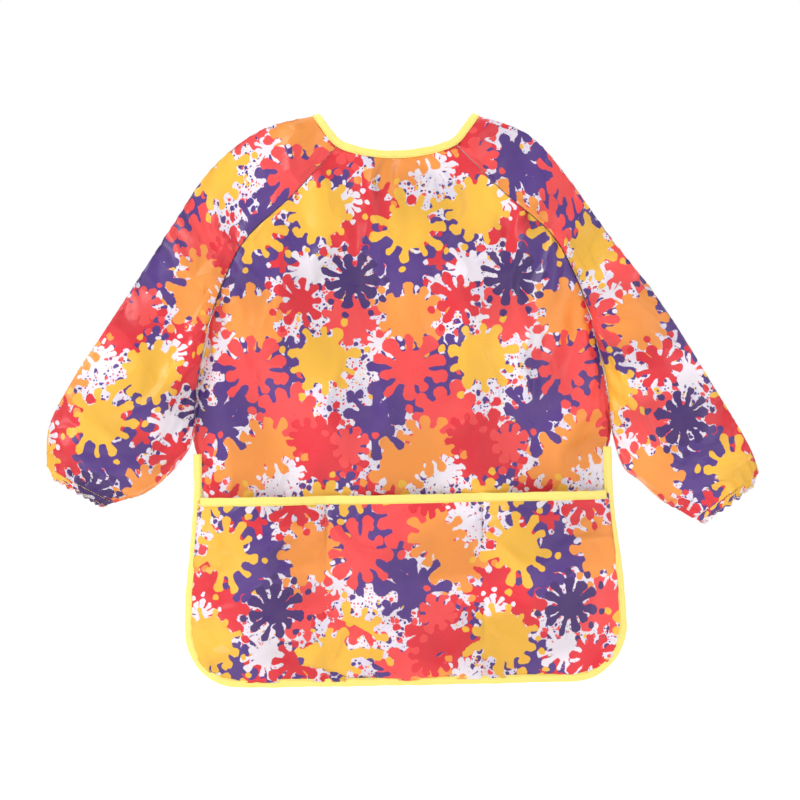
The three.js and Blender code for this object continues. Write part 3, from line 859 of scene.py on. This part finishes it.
def sleeve_row(sleeve, t, columns, chance, inset=0.0):
    """One row round the sleeve; towards the wrist it ripples, under the elastic it is tucked in."""
    centre, fold, depth, reach = sleeve_frame(sleeve, t)
    ripple = 3.3 * smooth(t, 0.74, 1.0) * (1 - 0.55 * smooth(t, 1.0, 1.03)) * (1 + 0.5 * smooth(t, 1.12, 1.2))
    tuck = 1.2 * smooth(t, 1.0, 1.02) * (1 - smooth(t, 1.13, 1.16))
    across = fold - centre
    frill = 1.5 * np.array((-across[1], across[0])) / np.linalg.norm(across)
    row = []
    for i in range(columns + 1):
        s = i / columns
        angle = reach * (1 - 2 * s)
        wave = math.sin(GATHERS * angle + chance[0] * math.sin(3 * angle) + chance[1])
        wave = wave * (1 + 0.35 * math.sin(5 * angle + chance[2]))
        inward = ripple * (0.5 - 0.5 * wave) + tuck + inset
        p = mixed(centre, fold, math.cos(angle) * (1 - inward / np.linalg.norm(fold - centre)))
        y = -(depth - inward) * math.sin(angle)
        if t < 0:
            gap = (1 - abs(1 - 2 * s)) * 2 * np.linalg.norm(fold - centre)
            y += math.copysign(seam_dip(gap, 1.0, 6), -y) if abs(y) > 1.5 else 0
            p = p + np.array((0.5 * abs(1 - 2 * s), 0))
        p = p + frill * wave * smooth(t, 1.13, 1.2)
        row.append(np.array((sleeve["sign"] * p[0], y, p[1])))
    return row


print("each cuff is gathered into", GATHERS, "ripples")

# %% [markdown]
# ## Both sleeves
# The two sleeves are the same function with other lines. Their gathers could be even waves, but real ones
# never are, so three seeded numbers push each cuff's waves about. The left rows are turned round, because
# mirroring a grid turns its faces inside out.

# %% Sleeve cloths
SLEEVE_COLUMNS = 112
OPEN_ROWS, TUBE_ROWS, CUFF_STEP = 44, 62, 60
SLEEVE_STEPS = [-1 + j / OPEN_ROWS for j in range(OPEN_ROWS)]
SLEEVE_STEPS += [j / TUBE_ROWS for j in range(TUBE_ROWS)] + [1 + j / CUFF_STEP for j in range(13)]


def sleeve_rows(sleeve, steps, inset=0.0, facing_out=True):
    chance = np.random.default_rng(sleeve["seed"]).uniform(0.5, 1.5, 3)
    rows = [sleeve_row(sleeve, t, SLEEVE_COLUMNS, chance, inset) for t in steps]
    return [row[::-1] for row in rows] if facing_out and sleeve["sign"] < 0 else rows


sleeve_cloths = {}
for side, sleeve in SLEEVES.items():
    sleeve["inner"] = inner_line(sleeve)
    rows = sleeve_rows(sleeve, SLEEVE_STEPS)
    places = flat_places(rows, SLEEVE_COLUMNS // 2, (0, 0))
    finish = (SIDE_PRINT[side], REVERSE_SIDE)
    sleeve_cloths[side] = cloth_mesh(side + "_sleeve_cloth", rows, places, finish, lambda j: SLEEVE_STEPS[j] >= 0)
    print(side, "sleeve", len(sleeve_cloths[side][0].data.vertices), "points")

# %% [markdown]
# ## The back
# The back is open, so it is two panels. Each one is drawn closed, from the side seam to the middle, and then
# its last few centimetres are turned outwards, as an undone flap falls open. The turn is eased in over a
# few centimetres of cloth, because cloth bends and does not crease like card.

# %% Back panels
BACK_EDGE = 5.0  # the cloth stops here and the tape covers its edge
BACK_ROWS, BACK_COLUMNS = 70, 48


def about_fold(x, y, amount):
    """Turn a point of the right half of the back about its fold line."""
    dx, dy = x - FLAP_HINGE[0], y - FLAP_HINGE[1]
    along, out = math.cos(amount), math.sin(amount)
    return FLAP_HINGE[0] + dx * along + dy * out, FLAP_HINGE[1] - dx * out + dy * along


def turned_open(p):
    """Turn a point of the closed back about the fold line, more the nearer it is to the middle."""
    side = 1 if p[0] > 0 else -1
    x, y = about_fold(side * p[0], p[1], FLAP_OPEN * (1 - smooth(abs(p[0]), 38, 62)))
    return np.array((side * x, y, p[2]))


def back_row(sign, v):
    row, half = [], body_edge(v)[0] - 0.5
    for i in range(BACK_COLUMNS + 1):
        across = math.sin(mixed(math.asin(BACK_EDGE / half), math.pi / 2, i / BACK_COLUMNS))
        p = torso(1, across, v)
        p[1] -= seam_dip((1 - across) * half)
        row.append(turned_open(p * np.array((sign, 1, 1))))
    return row


back_cloths = {}
for side, sleeve in SLEEVES.items():
    rows = [back_row(sleeve["sign"], j / BACK_ROWS)[:: 1 if side == "left" else -1] for j in range(BACK_ROWS + 1)]
    places = flat_places(rows, 0 if side == "left" else BACK_COLUMNS, (0, 0))
    back_cloths[side] = cloth_mesh(side + "_back_cloth", rows, places, (BACK_PRINT, REVERSE_SIDE))
    print(side, "back", len(back_cloths[side][0].data.vertices), "points")

# %% [markdown]
# ## The pocket panel
# One wide cloth is sewn over the skirt at its sides, its lower edge and along two lines, which makes three
# pockets. It is cut a little wide between the lines, so each mouth stands open. The print is turned a
# quarter turn, because this piece was cut across the cloth.

# %% Pocket panel
HALF_COLUMNS = 48
POCKET_SHIFT = (424.3, 249.4)  # where the panel was cut from the printed cloth


def pocket_point(x, z):
    p = np.array((x, -pocket_depth(x, z), z))
    p[1] += seam_dip(abs(abs(x) - DIVIDER), 1.3, 2.6)
    return p


rows = []
for j in range(49):
    edge = edge_walk(j / 48, 0.6, POCKET_TOP - 3, lambda z: skirt_width(z) - UNDER_TAPE)
    rows.append([pocket_point((i / HALF_COLUMNS - 1) * edge[0], edge[1]) for i in range(2 * HALF_COLUMNS + 1)])
across = flat_places(rows, HALF_COLUMNS, (0, 0))[:, :, 0]
places = np.stack([np.array(rows)[:, :, 2] + POCKET_SHIFT[0], -(across + POCKET_SHIFT[1])], axis=2)
pocket, pocket_index = cloth_mesh("pocket_cloth", rows, places, (POCKET_PRINT, REVERSE_SIDE))
print("pocket panel", len(pocket.data.vertices), "points")

# %% [markdown]
# ## Letting the cloth settle
# Straight from the pattern the panels are too perfect. A short cloth simulation settles them: every sewn
# edge is pinned, the cloth is given one or two parts in a hundred of spare fabric, and it buckles into
# soft folds under its own weight. The random start is seeded, so the folds are the same each time. The
# result is copied to the mesh and the movement is limited, so no panel sinks through its neighbour.

# %% Cloth simulation
SETTLE_FRAMES = 22
CLOTH_SETTINGS = {
    "quality": 5,
    "mass": 0.15,
    "tension_stiffness": 18,
    "compression_stiffness": 12,
    "shear_stiffness": 6,
    "bending_stiffness": 0.6,
    "air_damping": 4,
    "vertex_group_mass": "sewn",
    "pin_stiffness": 6,
}
LIGHT_WEIGHT = 0.12  # the smock is spread out, so its cloth feels only part of its weight
START_BUMP = 0.0012


def limited(moves, most):
    size = np.linalg.norm(moves, axis=1, keepdims=True)
    return moves * (most * np.tanh(size / most) / np.maximum(size, 1e-9))


def settle(piece, held, spare, most, seed):
    """held is 1 where a point is sewn and falls to 0 in free cloth; spare is the share of extra fabric."""
    mesh = piece.data
    start = np.array([v.co for v in mesh.vertices])
    normals = np.array([v.normal for v in mesh.vertices])
    generator = np.random.default_rng(seed)
    bump = np.zeros(len(start))
    for _ in range(9):
        wave = generator.normal(size=3) * (55, 40, 24)
        bump += np.sin(start @ wave + generator.uniform(0, 2 * math.pi)) / 3
    free = 1 - held
    moved = start + normals * (bump * free * START_BUMP)[:, None]
    mesh.vertices.foreach_set("co", moved.ravel())
    pins = piece.vertex_groups.new(name="sewn")
    for level in np.unique(np.round(held, 2)):
        pins.add(np.flatnonzero(np.round(held, 2) == level).tolist(), float(level), "REPLACE")
    cloth = piece.modifiers.new("cloth", "CLOTH")
    for label, value in CLOTH_SETTINGS.items():
        setattr(cloth.settings, label, value)
    cloth.settings.shrink_min = -spare
    cloth.settings.effector_weights.gravity = LIGHT_WEIGHT
    cloth.point_cache.frame_start = 1
    cloth.point_cache.frame_end = SETTLE_FRAMES
    for step in range(1, SETTLE_FRAMES + 1):
        scene.frame_set(step)
    settled = piece.evaluated_get(bpy.context.evaluated_depsgraph_get()).data
    after = np.array([v.co for v in settled.vertices])
    piece.modifiers.remove(cloth)
    piece.vertex_groups.remove(pins)
    scene.frame_set(1)
    moves = limited(after - start, most)
    mesh.vertices.foreach_set("co", (start + moves).ravel())
    mesh.update()
    print(piece.name, "moved up to", round(float(np.linalg.norm(moves, axis=1).max() * 1000), 1), "mm")

# %% [markdown]
# ## What holds each cloth
# Each point is given a hold, from 0 in free cloth to 1 on a seam. It could be painted by hand as a vertex
# group. Here it comes from how far the point is from its panel's seams, so it stays right when the pattern
# changes. Where two seams are near, the stronger hold counts.

# %% Settling every panel
def near(distance, reach):
    """1 on a seam, falling to 0 at reach."""
    return np.clip(1 - distance / reach, 0, 1) ** 0.6


def grid_share(index, count):
    """Row and column of each point, each as a share of the grid from 0 to 1."""
    down, across = np.zeros(count), np.zeros(count)
    rows, columns = index.shape
    for j in range(rows):
        down[index[j]] = j / (rows - 1)
        across[index[j]] = np.arange(columns) / (columns - 1)
    return down, across


def all_round(down, across, ends, sides):
    return [near(down, ends), near(1 - down, ends), near(across, sides), near(1 - across, sides)]


def settle_all():
    down, across = grid_share(front_index, len(front.data.vertices))
    height = np.array([v.co[2] for v in front.data.vertices]) / MM
    to_side = np.minimum(across, 1 - across)
    side = near(to_side, 0.04) * (height > WAIST_Z - 12)
    held = np.maximum.reduce([near(down, 0.03), side, near(1 - down, 0.05), near(to_side, 0.02)])
    settle(front, held, 0.022, 0.008, 3)

    down, across = grid_share(pocket_index, len(pocket.data.vertices))
    x = np.array([v.co[0] for v in pocket.data.vertices]) / MM
    sewn = near(np.abs(np.abs(x) - DIVIDER), 5)
    settle(pocket, np.maximum.reduce([*all_round(down, across, 0.06, 0.03), sewn]), 0.016, 0.004, 4)

    for side, (cloth, index) in sleeve_cloths.items():
        down, across = grid_share(index, len(cloth.data.vertices))
        open_rows = down < OPEN_ROWS / (len(SLEEVE_STEPS) - 1)
        seam = near(np.minimum(across, 1 - across), 0.03)
        cuff = np.clip((down - 0.86) / 0.04, 0, 1)
        crease = near(np.abs(across - 0.5), 0.035) * 0.8
        beside_body = seam * np.where(down < 0.72, 0.95, 0.7)
        held = np.maximum.reduce([near(down, 0.03), np.where(open_rows, seam, beside_body), crease, cuff])
        settle(cloth, held, 0.026, 0.008, 6 if side == "left" else 7)

    for side, (cloth, index) in back_cloths.items():
        down, across = grid_share(index, len(cloth.data.vertices))
        held = np.maximum.reduce(all_round(down, across, 0.03, 0.03))
        settle(cloth, held, 0.02, 0.006, 8 if side == "left" else 10)


settle_all()

# %% [markdown]
# ## Folded tape
# The raw edges are bound with satin tape folded over them, so it stands a little proud on both faces. One
# function builds it: it walks along an edge, carries a rounded flat section with it, and lets the tape
# waver slightly, as sewn tape does where the thread pulls it.

# %% Tape
TAPE_SECTION = 14


def unit(v):
    return v / max(np.linalg.norm(v), 1e-9)


def close_ends(piece):
    work = bmesh.new()
    work.from_mesh(piece.data)
    bmesh.ops.holes_fill(work, edges=[e for e in work.edges if e.is_boundary], sides=0)
    bmesh.ops.recalc_face_normals(work, faces=work.faces)
    work.to_mesh(piece.data)
    work.free()
    piece.data.shade_smooth()


def tape(name, stations, width=TAPE_WIDTH, cover=1.2, thick=2.1, seed=1):
    """stations are (edge point, direction out of the cloth, cloth normal), in millimetres."""
    generator = np.random.default_rng(seed)
    phases = generator.uniform(0, 2 * math.pi, 4)
    rows, places, walked, last = [], [], 0.0, None
    for point, out, normal in stations:
        if last is not None:
            walked += np.linalg.norm(point - last)
        last = point
        waver = 0.16 * math.sin(walked / 2.1 + phases[0]) + 0.22 * math.sin(walked / 5.3 + phases[1])
        edge = 0.14 * math.sin(walked / 3.7 + phases[2]) + 0.2 * math.sin(walked / 11 + phases[3])
        row = []
        for k in range(TAPE_SECTION + 1):
            angle = 2 * math.pi * k / TAPE_SECTION
            c, s = math.cos(angle), math.sin(angle)
            a = (width - cover) / 2 + (width + cover) / 2 * math.copysign(abs(c) ** 0.45, c)
            b = thick / 2 * math.copysign(abs(s) ** 0.6, s)
            a += edge if c > 0 else 0
            row.append(point + out * a + normal * (b + waver * (0.4 + 0.6 * (c < 0.2))))
        rows.append(row)
        places.append([(k * (width + cover) * 2 / TAPE_SECTION, walked) for k in range(TAPE_SECTION + 1)])
    piece, _ = cloth_mesh(name, rows, np.array(places), (TAPE,), lambda j: True)
    close_ends(piece)
    print(name, round(walked), "mm long")
    return piece


def stations_along(point, inward, ts):
    """Stations of an edge: point(t) on it, inward(t) a little way into the cloth."""
    found = []
    for t in ts:
        here = point(t)
        along = unit(point(min(t + 0.004, 1)) - point(max(t - 0.004, 0)))
        out = here - inward(t)
        out = unit(out - along * out.dot(along))
        found.append((here, out, np.cross(out, along)))
    return found

# %% [markdown]
# ## The neck tape
# One length of tape runs from the back seam over the left shoulder, round the scoop and over the right
# shoulder. Its corners are rounded, because tape can't turn a sharp corner. It is the narrowest tape here.

# %% Neck tape
def mirrored(p, sign):
    return p * np.array((sign, 1, 1))


def cap_point(side, s, v):
    sleeve = SLEEVES[side]
    centre, fold, depth, reach = sleeve_frame(sleeve, v - 1)
    angle = reach * (1 - 2 * s)
    p = mixed(centre, fold, math.cos(angle))
    return np.array((sleeve["sign"] * (p[0] + 0.5 * abs(1 - 2 * s)), -depth * math.sin(angle), p[1]))


def neck_edge(t, v):
    stretch = min(int(3 * t), 2)
    s = 3 * t - stretch
    if stretch == 0:
        return cap_point("left", 1 - s, v)
    if stretch == 1:
        return torso(-1, 2 * s - 1, v)
    return cap_point("right", s, v)


def neck_point(t, v):
    """The neckline with its two corners rounded off, as tape can't turn a sharp corner."""
    samples = [neck_edge(min(max(t + d, 0), 1), v) for d in np.linspace(-0.03, 0.03, 9)]
    blend = math.exp(-(((t - 1 / 3) / 0.03) ** 2)) + math.exp(-(((t - 2 / 3) / 0.03) ** 2))
    return mixed(neck_edge(t, v), np.mean(samples, axis=0), min(blend, 1))


neck_stations = stations_along(lambda t: neck_point(t, 0), lambda t: neck_point(t, 0.06), np.linspace(0, 1, 260))
neck_tape = tape("neck_tape", neck_stations, width=6.4, cover=1.0, seed=1)

# %% [markdown]
# ## The back's tapes
# Each half of the back is bound along the neck, down the opening and along its lower edge. The tapes follow
# the cloth as it turns open, so they bend with the flap.

# %% Back tapes
def back_point(side, x, v):
    p = torso(1, x / (body_edge(v)[0] - 0.5), v)
    return mirrored(p, SLEEVES[side]["sign"])


def squared(points, outs):
    """Stations from points and their rough directions out, each squared to its edge."""
    found = []
    for k, (point, out) in enumerate(zip(points, outs)):
        along = unit(points[min(k + 1, len(points) - 1)] - points[max(k - 1, 0)])
        out = unit(out - along * out.dot(along))
        found.append((point, out, np.cross(out, along)))
    return found


def back_runs(side):
    """Stations of the neck edge, the lower edge and the opening."""
    top = [turned_open(back_point(side, x, 0)) for x in np.linspace(56.4, 1.5, 60)]
    hem = [turned_open(back_point(side, x, 1)) for x in np.linspace(197, 1.5, 150)]
    down = np.linspace(0.004, 0.996, 180)
    here = [turned_open(back_point(side, BACK_EDGE + 3.4, v)) for v in down]
    there = [turned_open(back_point(side, BACK_EDGE + 9, v)) for v in down]
    outs = [unit(a - b) for a, b in zip(here, there)]
    up = np.array((0, 0, 1.0))
    return squared(top, [up] * len(top)), squared(hem, [-up] * len(hem)), squared(here, outs)


BACK_TAPES = (
    ("_back_neck_tape", ("_flap_neck_binding",)),
    ("_back_hem_tape", ("_back_hem_binding", "_flap_hem_binding")),
    ("_back_edge_tape", ("_flap_edge_binding",)),
)
back_tapes, back_stations = {}, {}
for side in SLEEVES:
    back_stations[side] = back_runs(side)
    back_tapes[side] = [
        (tape(side + name, run, seed=2 + number), [side + node for node in nodes])
        for number, (run, (name, nodes)) in enumerate(zip(back_stations[side], BACK_TAPES))
    ]

# %% [markdown]
# ## The hem tape and the pocket tape
# The longest tape starts where the sleeves leave the body, runs down one side of the skirt, round both
# corners and up the other side. It holds the skirt and the pocket panel together, so it is the thickest.
# The pocket tape binds the three mouths in one straight line.

# %% Hem and pocket tapes
HEM_TAPE_TOP = -322


def hem_outline(t, inset):
    """The skirt's edge from one side at the waist, round both corners, to the other side."""
    side = 1 if t > 0.5 else -1
    half = abs(2 * t - 1)
    reach_x, reach_z = HEM_WIDTH - CORNER_X - inset, CORNER_Z - HEM_Z - inset
    if half < 0.42:
        return np.array((side * CORNER_X * half / 0.42, HEM_Z + inset))
    if half < 0.62:
        angle = math.pi / 2 * (half - 0.42) / 0.2
        return np.array((side * (CORNER_X + reach_x * math.sin(angle)), CORNER_Z - reach_z * math.cos(angle)))
    z = mixed(CORNER_Z, HEM_TAPE_TOP, (half - 0.62) / 0.38)
    return np.array((side * (skirt_width(z) - inset), z))


def skirt_point(t, inset):
    x, z = hem_outline(t, inset)
    return np.array((x, -skirt_depth(x, z) - 0.3, z))


hem_stations = stations_along(
    lambda t: skirt_point(t, TAPE_WIDTH), lambda t: skirt_point(t, TAPE_WIDTH + 6), np.linspace(0, 1, 520)
)
hem_tape = tape("hem_tape", hem_stations, cover=0.6, thick=4.2, seed=5)


def pocket_mouth(t, z):
    x = (2 * t - 1) * (skirt_width(z) - TAPE_WIDTH)
    return np.array((x, -pocket_depth(x, z), z))


pocket_stations = stations_along(
    lambda t: pocket_mouth(t, POCKET_TOP - 7.5), lambda t: pocket_mouth(t, POCKET_TOP - 14), np.linspace(0, 1, 300)
)
pocket_tape = tape("pocket_tape", pocket_stations, cover=1.0, seed=6)

# %% [markdown]
# ## Cuffs
# Inside each gathered cuff lies a flat elastic, and the cloth's end is turned in behind it. Both follow the
# same ripples as the sleeve, a little further in.

# %% Cuff linings
def cuff_ring(name, side, low, high, inset, materials):
    rows = sleeve_rows(SLEEVES[side], np.linspace(low, high, 9), inset)
    piece, _ = cloth_mesh(name, rows, flat_places(rows, 0, (0, 0)), materials, lambda j: True)
    give_thickness(piece)
    return piece


cuff_parts = []
for side in SLEEVES:
    elastic = cuff_ring(side + "_elastic_band", side, 1.03, 1.15, 1.1, (ELASTIC, ELASTIC))
    turned = cuff_ring(side + "_cuff_lining", side, 1.005, 1.195, 2.2, (REVERSE_SIDE, SIDE_PRINT[side]))
    cuff_parts += [(elastic, side, side + "_cuff_elastic"), (turned, side, side + "_cuff_hem")]
print(len(cuff_parts), "rings in the cuffs")

# %% [markdown]
# ## The closure
# A short tab of hook tape meets a patch of loop tape at the neck. Both start as woven strips that follow
# their own flap. The rows of tiny hooks and loops are set on them later, by the tree that sews the stitches.

# %% Closure tapes
CLOSURE_TOP = 0.09  # share of the back's height above the closure
CLOSURE_END = CLOSURE_TOP + 22 / -WAIST_Z
CLOSURE_THICKNESS = 0.0009


def closure_rows(side, x0, x1, lift, count_down, count_across):
    """Rows of points on an open flap near the neck, x0 to x1 from the middle, lifted off the cloth."""
    rows = []
    for v in np.linspace(CLOSURE_TOP, CLOSURE_END, count_down):
        row = []
        for x in np.linspace(x0, x1, count_across):
            _, y, z = torso(1, x / (body_edge(v)[0] - 0.5), v)
            p = np.array((*about_fold(x, y + lift(x), FLAP_OPEN), z))
            row.append(mirrored(p, SLEEVES[side]["sign"]))
        rows.append(row if side == "left" else row[::-1])
    return rows


def closure(name, side, x0, x1, lift):
    rows = closure_rows(side, x0, x1, lift, 9, 25)
    piece, _ = cloth_mesh(name, rows, flat_places(rows, 0, (0, 0)), (CLOSURE, CLOSURE))
    give_thickness(piece, CLOSURE_THICKNESS, 1)
    print(name, x1 - x0, "by 22 mm")
    return piece


loop_patch = closure("loop_patch_tape", "right", 10, 28, lambda x: 0.5)
hook_tab = closure("hook_tab_tape", "left", -12, 28, lambda x: mixed(3.2, 1.6, smooth(x, 2, 9)))

# %% [markdown]
# ## Stitches
# One Geometry Nodes tree sews every seam. It walks along a line at an even pitch, sets a small rounded
# stitch at each step, turned to follow the line, and lets each one vary a little in size.

# %% Stitch tree
STITCH_INPUTS = (
    ("Line", "NodeSocketGeometry", None),
    ("Pitch", "NodeSocketFloat", 0.0027),
    ("Stitch Length", "NodeSocketFloat", 0.0019),
    ("Thread Radius", "NodeSocketFloat", 0.00024),
    ("Seed", "NodeSocketInt", 1),
    ("Material", "NodeSocketMaterial", None),
)


def stitch_tree():
    tree = bpy.data.node_groups.new("sewn_stitches", "GeometryNodeTree")
    ids = {}
    for label, kind, value in STITCH_INPUTS:
        socket = tree.interface.new_socket(name=label, in_out="INPUT", socket_type=kind)
        if value is not None:
            socket.default_value = value
        ids[label] = socket.identifier
    tree.interface.new_socket(name="Stitches", in_out="OUTPUT", socket_type="NodeSocketGeometry")
    given = tree.nodes.new("NodeGroupInput").outputs
    line = add(tree, "GeometryNodeMeshToCurve", {"Mesh": given["Line"]}).outputs["Curve"]
    steps = add(tree, "GeometryNodeResampleCurve", {"Curve": line, "Length": given["Pitch"]}, mode="LENGTH")
    bead = add(tree, "GeometryNodeMeshUVSphere", {"Segments": 6, "Rings": 4, "Radius": 1})
    tangent = tree.nodes.new("GeometryNodeInputTangent").outputs[0]
    turn = add(tree, "FunctionNodeAlignRotationToVector", {"Vector": tangent}, axis="Z")
    half = calc(tree, "MULTIPLY", given["Stitch Length"], 0.5)
    radius = given["Thread Radius"]
    size = add(tree, "ShaderNodeCombineXYZ", {"X": radius, "Y": radius, "Z": half}).outputs[0]
    chance = add(tree, "FunctionNodeRandomValue", {2: 0.88, 3: 1.12, "Seed": given["Seed"]}).outputs[1]
    scaled = add(tree, "ShaderNodeVectorMath", operation="SCALE")
    wire(tree, scaled.inputs[0], size)
    wire(tree, scaled.inputs["Scale"], chance)
    places = {
        "Points": steps.outputs["Curve"],
        "Instance": bead.outputs["Mesh"],
        "Rotation": turn.outputs["Rotation"],
        "Scale": scaled.outputs["Vector"],
    }
    sewn = add(tree, "GeometryNodeInstanceOnPoints", places).outputs["Instances"]
    real = add(tree, "GeometryNodeRealizeInstances", {"Geometry": sewn}).outputs["Geometry"]
    finish = add(tree, "GeometryNodeSetMaterial", {"Geometry": real, "Material": given["Material"]})
    add(tree, "NodeGroupOutput", {"Stitches": finish.outputs["Geometry"]})
    return tree, ids


STITCHES, STITCH_IDS = stitch_tree()
print("stitch tree:", len(STITCHES.nodes), "nodes")

# %% [markdown]
# ## Sewing a line
# The tree needs a line of edges to walk along. A short-lived guide mesh gives it one, the tree's result is
# copied out as a plain mesh, and the guide is removed. A curve object would do as well, but a mesh of edges
# holds several separate lines in one piece.

# %% Sewing
PITCH = 0.0027
THREAD_RADIUS = 0.00026


def sew(name, lines, material, seed, pitch=PITCH):
    """lines is a list of point lists in millimetres; the stitches become one plain mesh."""
    verts, edges = [], []
    for line in lines:
        first = len(verts)
        verts += [tuple(np.array(p) * MM) for p in line]
        edges += [(first + k, first + k + 1) for k in range(len(line) - 1)]
    guide_mesh = bpy.data.meshes.new(name + "_guide")
    guide_mesh.from_pydata(verts, edges, [])
    guide = bpy.data.objects.new(name + "_guide", guide_mesh)
    scene.collection.objects.link(guide)
    nodes = guide.modifiers.new("stitches", "NODES")
    nodes.node_group = STITCHES
    settings = (pitch, pitch * 0.72, THREAD_RADIUS, seed, material)
    for (label, _, _), value in zip(STITCH_INPUTS[1:], settings):
        nodes[STITCH_IDS[label]] = value
    graph = bpy.context.evaluated_depsgraph_get()
    mesh = bpy.data.meshes.new_from_object(guide.evaluated_get(graph))
    bpy.data.objects.remove(guide)
    mesh.shade_smooth()
    piece = bpy.data.objects.new(name, mesh)
    scene.collection.objects.link(piece)
    print(name, len(mesh.polygons), "faces")
    return piece


def beside(stations, along_out, proud):
    """A line on each face of a tape, this far out from the cloth's edge."""
    return [[p + out * along_out + n * face * proud for p, out, n in stations] for face in (1, -1)]

# %% [markdown]
# ## Sewing the seams
# The tapes are stitched through near their inner edge, so each seam shows on both faces. The dividers are
# one line each, sunk a little into the cloth, and the cuffs have a line on each side of the elastic.

# %% Seams
DIVIDER_SINK = 0.45  # the dividers' thread lies this far behind the line of the pocket cloth
back_stitches = {}
for side in SLEEVES:
    lines = [line for run in back_stations[side] for line in beside(run, -0.5, 1.15)]
    back_stitches[side] = sew(side + "_back_stitches", lines, THREAD, 11)
closure_pile = {
    "right": sew("loop_pile", closure_rows("right", 10.6, 27.4, lambda x: 1.5, 21, 12), CLOSURE, 12, 0.0009),
    "left": sew("hook_rows", closure_rows("left", -11.4, -1, lambda x: 3.1, 15, 8), CLOSURE, 13, 0.0012),
}
neck_stitches = sew("neck_stitches", beside(neck_stations, 0.2, 1.2), THREAD, 1)
hem_stitches = sew("hem_stitches", beside(hem_stations, 0.8, 2.15), THREAD, 2)
pocket_stitches = sew("pocket_tape_stitches", beside(pocket_stations, 0.2, 1.3), THREAD, 3)
divider_lines, cuff_stitches = {}, {}
for side, sleeve in SLEEVES.items():
    x = sleeve["sign"] * DIVIDER
    down = np.linspace(POCKET_TOP - 12, HEM_Z + TAPE_WIDTH + 3, 60)
    line = [(x, -pocket_depth(x, z) + DIVIDER_SINK, z) for z in down]
    divider_lines[side] = sew("pocket_divider_stitches_" + side, [line], THREAD, 4 + sleeve["sign"])
    rings = sleeve_rows(sleeve, (1.015, 1.155), -0.2, False)
    cuff_stitches[side] = sew(side + "_cuff_stitches", rings, THREAD, 7)

# %% [markdown]
# ## Riding the bodies
# Small pieces ride one body each: they are parented to an empty named for that body. The sleeve cloths, the
# back panels with their tapes and stitches, the front, the hem tape and its stitches are only fixed in place.
# Each arm's hinge is looked up, but nothing bends about it.


def bend_flap(piece):
    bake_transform(piece)


def ride_side(side):
    joint = next(j for j in JOINTS if j["name"] == side + "_arm_swing")
    pivot, axis = np.array(joint["pos_m"]), joint["axis"]
    down = np.array((-axis[2], 0, axis[0]))
    down *= -1 if down[2] > 0 else 1
    cloth = sleeve_cloths[side][0]
    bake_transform(cloth)
    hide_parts(*(side + n for n in ("_sleeve_shoulder", "_sleeve_fold", "_sleeve", "_cuff_casing")))
    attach(cuff_stitches[side], side + "_arm")
    bend_flap(back_cloths[side][0])
    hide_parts(side + "_back_panel", side + "_back_flap")
    for piece, nodes in back_tapes[side]:
        bend_flap(piece)
        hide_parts(*nodes)
    bend_flap(back_stitches[side])
    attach(closure_pile[side], side + "_flap")
    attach(divider_lines[side], "skirt")
    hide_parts("pocket_divider_stitching_" + side)


for piece in [front, pocket, *(c for c, _ in sleeve_cloths.values()), *(c for c, _ in back_cloths.values())]:
    give_thickness(piece)
for piece in (front, hem_tape, hem_stitches):
    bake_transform(piece)
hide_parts("front_bodice", "waist_fold", "front_skirt")
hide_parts("hem_binding")
for side in SLEEVES:
    ride_side(side)
for piece, side, node in cuff_parts:
    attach(piece, side + "_arm")
    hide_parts(node)
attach(neck_stitches, "root")
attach(pocket_stitches, "skirt")
for piece, body, node in (
    (pocket, "skirt", "pocket_panel"),
    (neck_tape, "root", "neck_binding"),
    (pocket_tape, "skirt", "pocket_top_binding"),
    (loop_patch, "right_flap", "loop_patch"),
    (hook_tab, "left_flap", "hook_tab"),
):
    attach(piece, body)
    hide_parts(node)

# %% [markdown]
# ## The size of each sheet
# Each cloth's cut size, its width, length and area, is read from its pattern map and printed.

# %% Sheets
def cut_size(piece):
    """Width, length and area of the flat cloth, in metres, read from the pattern map."""
    mesh = piece.data
    spots = np.empty(len(mesh.loops) * 2)
    mesh.uv_layers["pattern"].data.foreach_get("uv", spots)
    spots = spots.reshape(-1, 2)
    area = 0.0
    for face in mesh.polygons:
        x, y = spots[list(face.loop_indices)].T
        area += abs(np.dot(x, np.roll(y, -1)) - np.dot(y, np.roll(x, -1))) / 2
    width, length = np.ptp(spots, axis=0)
    return float(width), float(length), float(min(area, width * length))


def declare(piece):
    width, length, area = cut_size(piece)
    print(f"{piece.name}: cut {width * 1000:.0f} x {length * 1000:.0f} mm, {area * 10000:.0f} square cm")


declare(front)
declare(pocket)
for side in SLEEVES:
    declare(sleeve_cloths[side][0])
    declare(back_cloths[side][0])
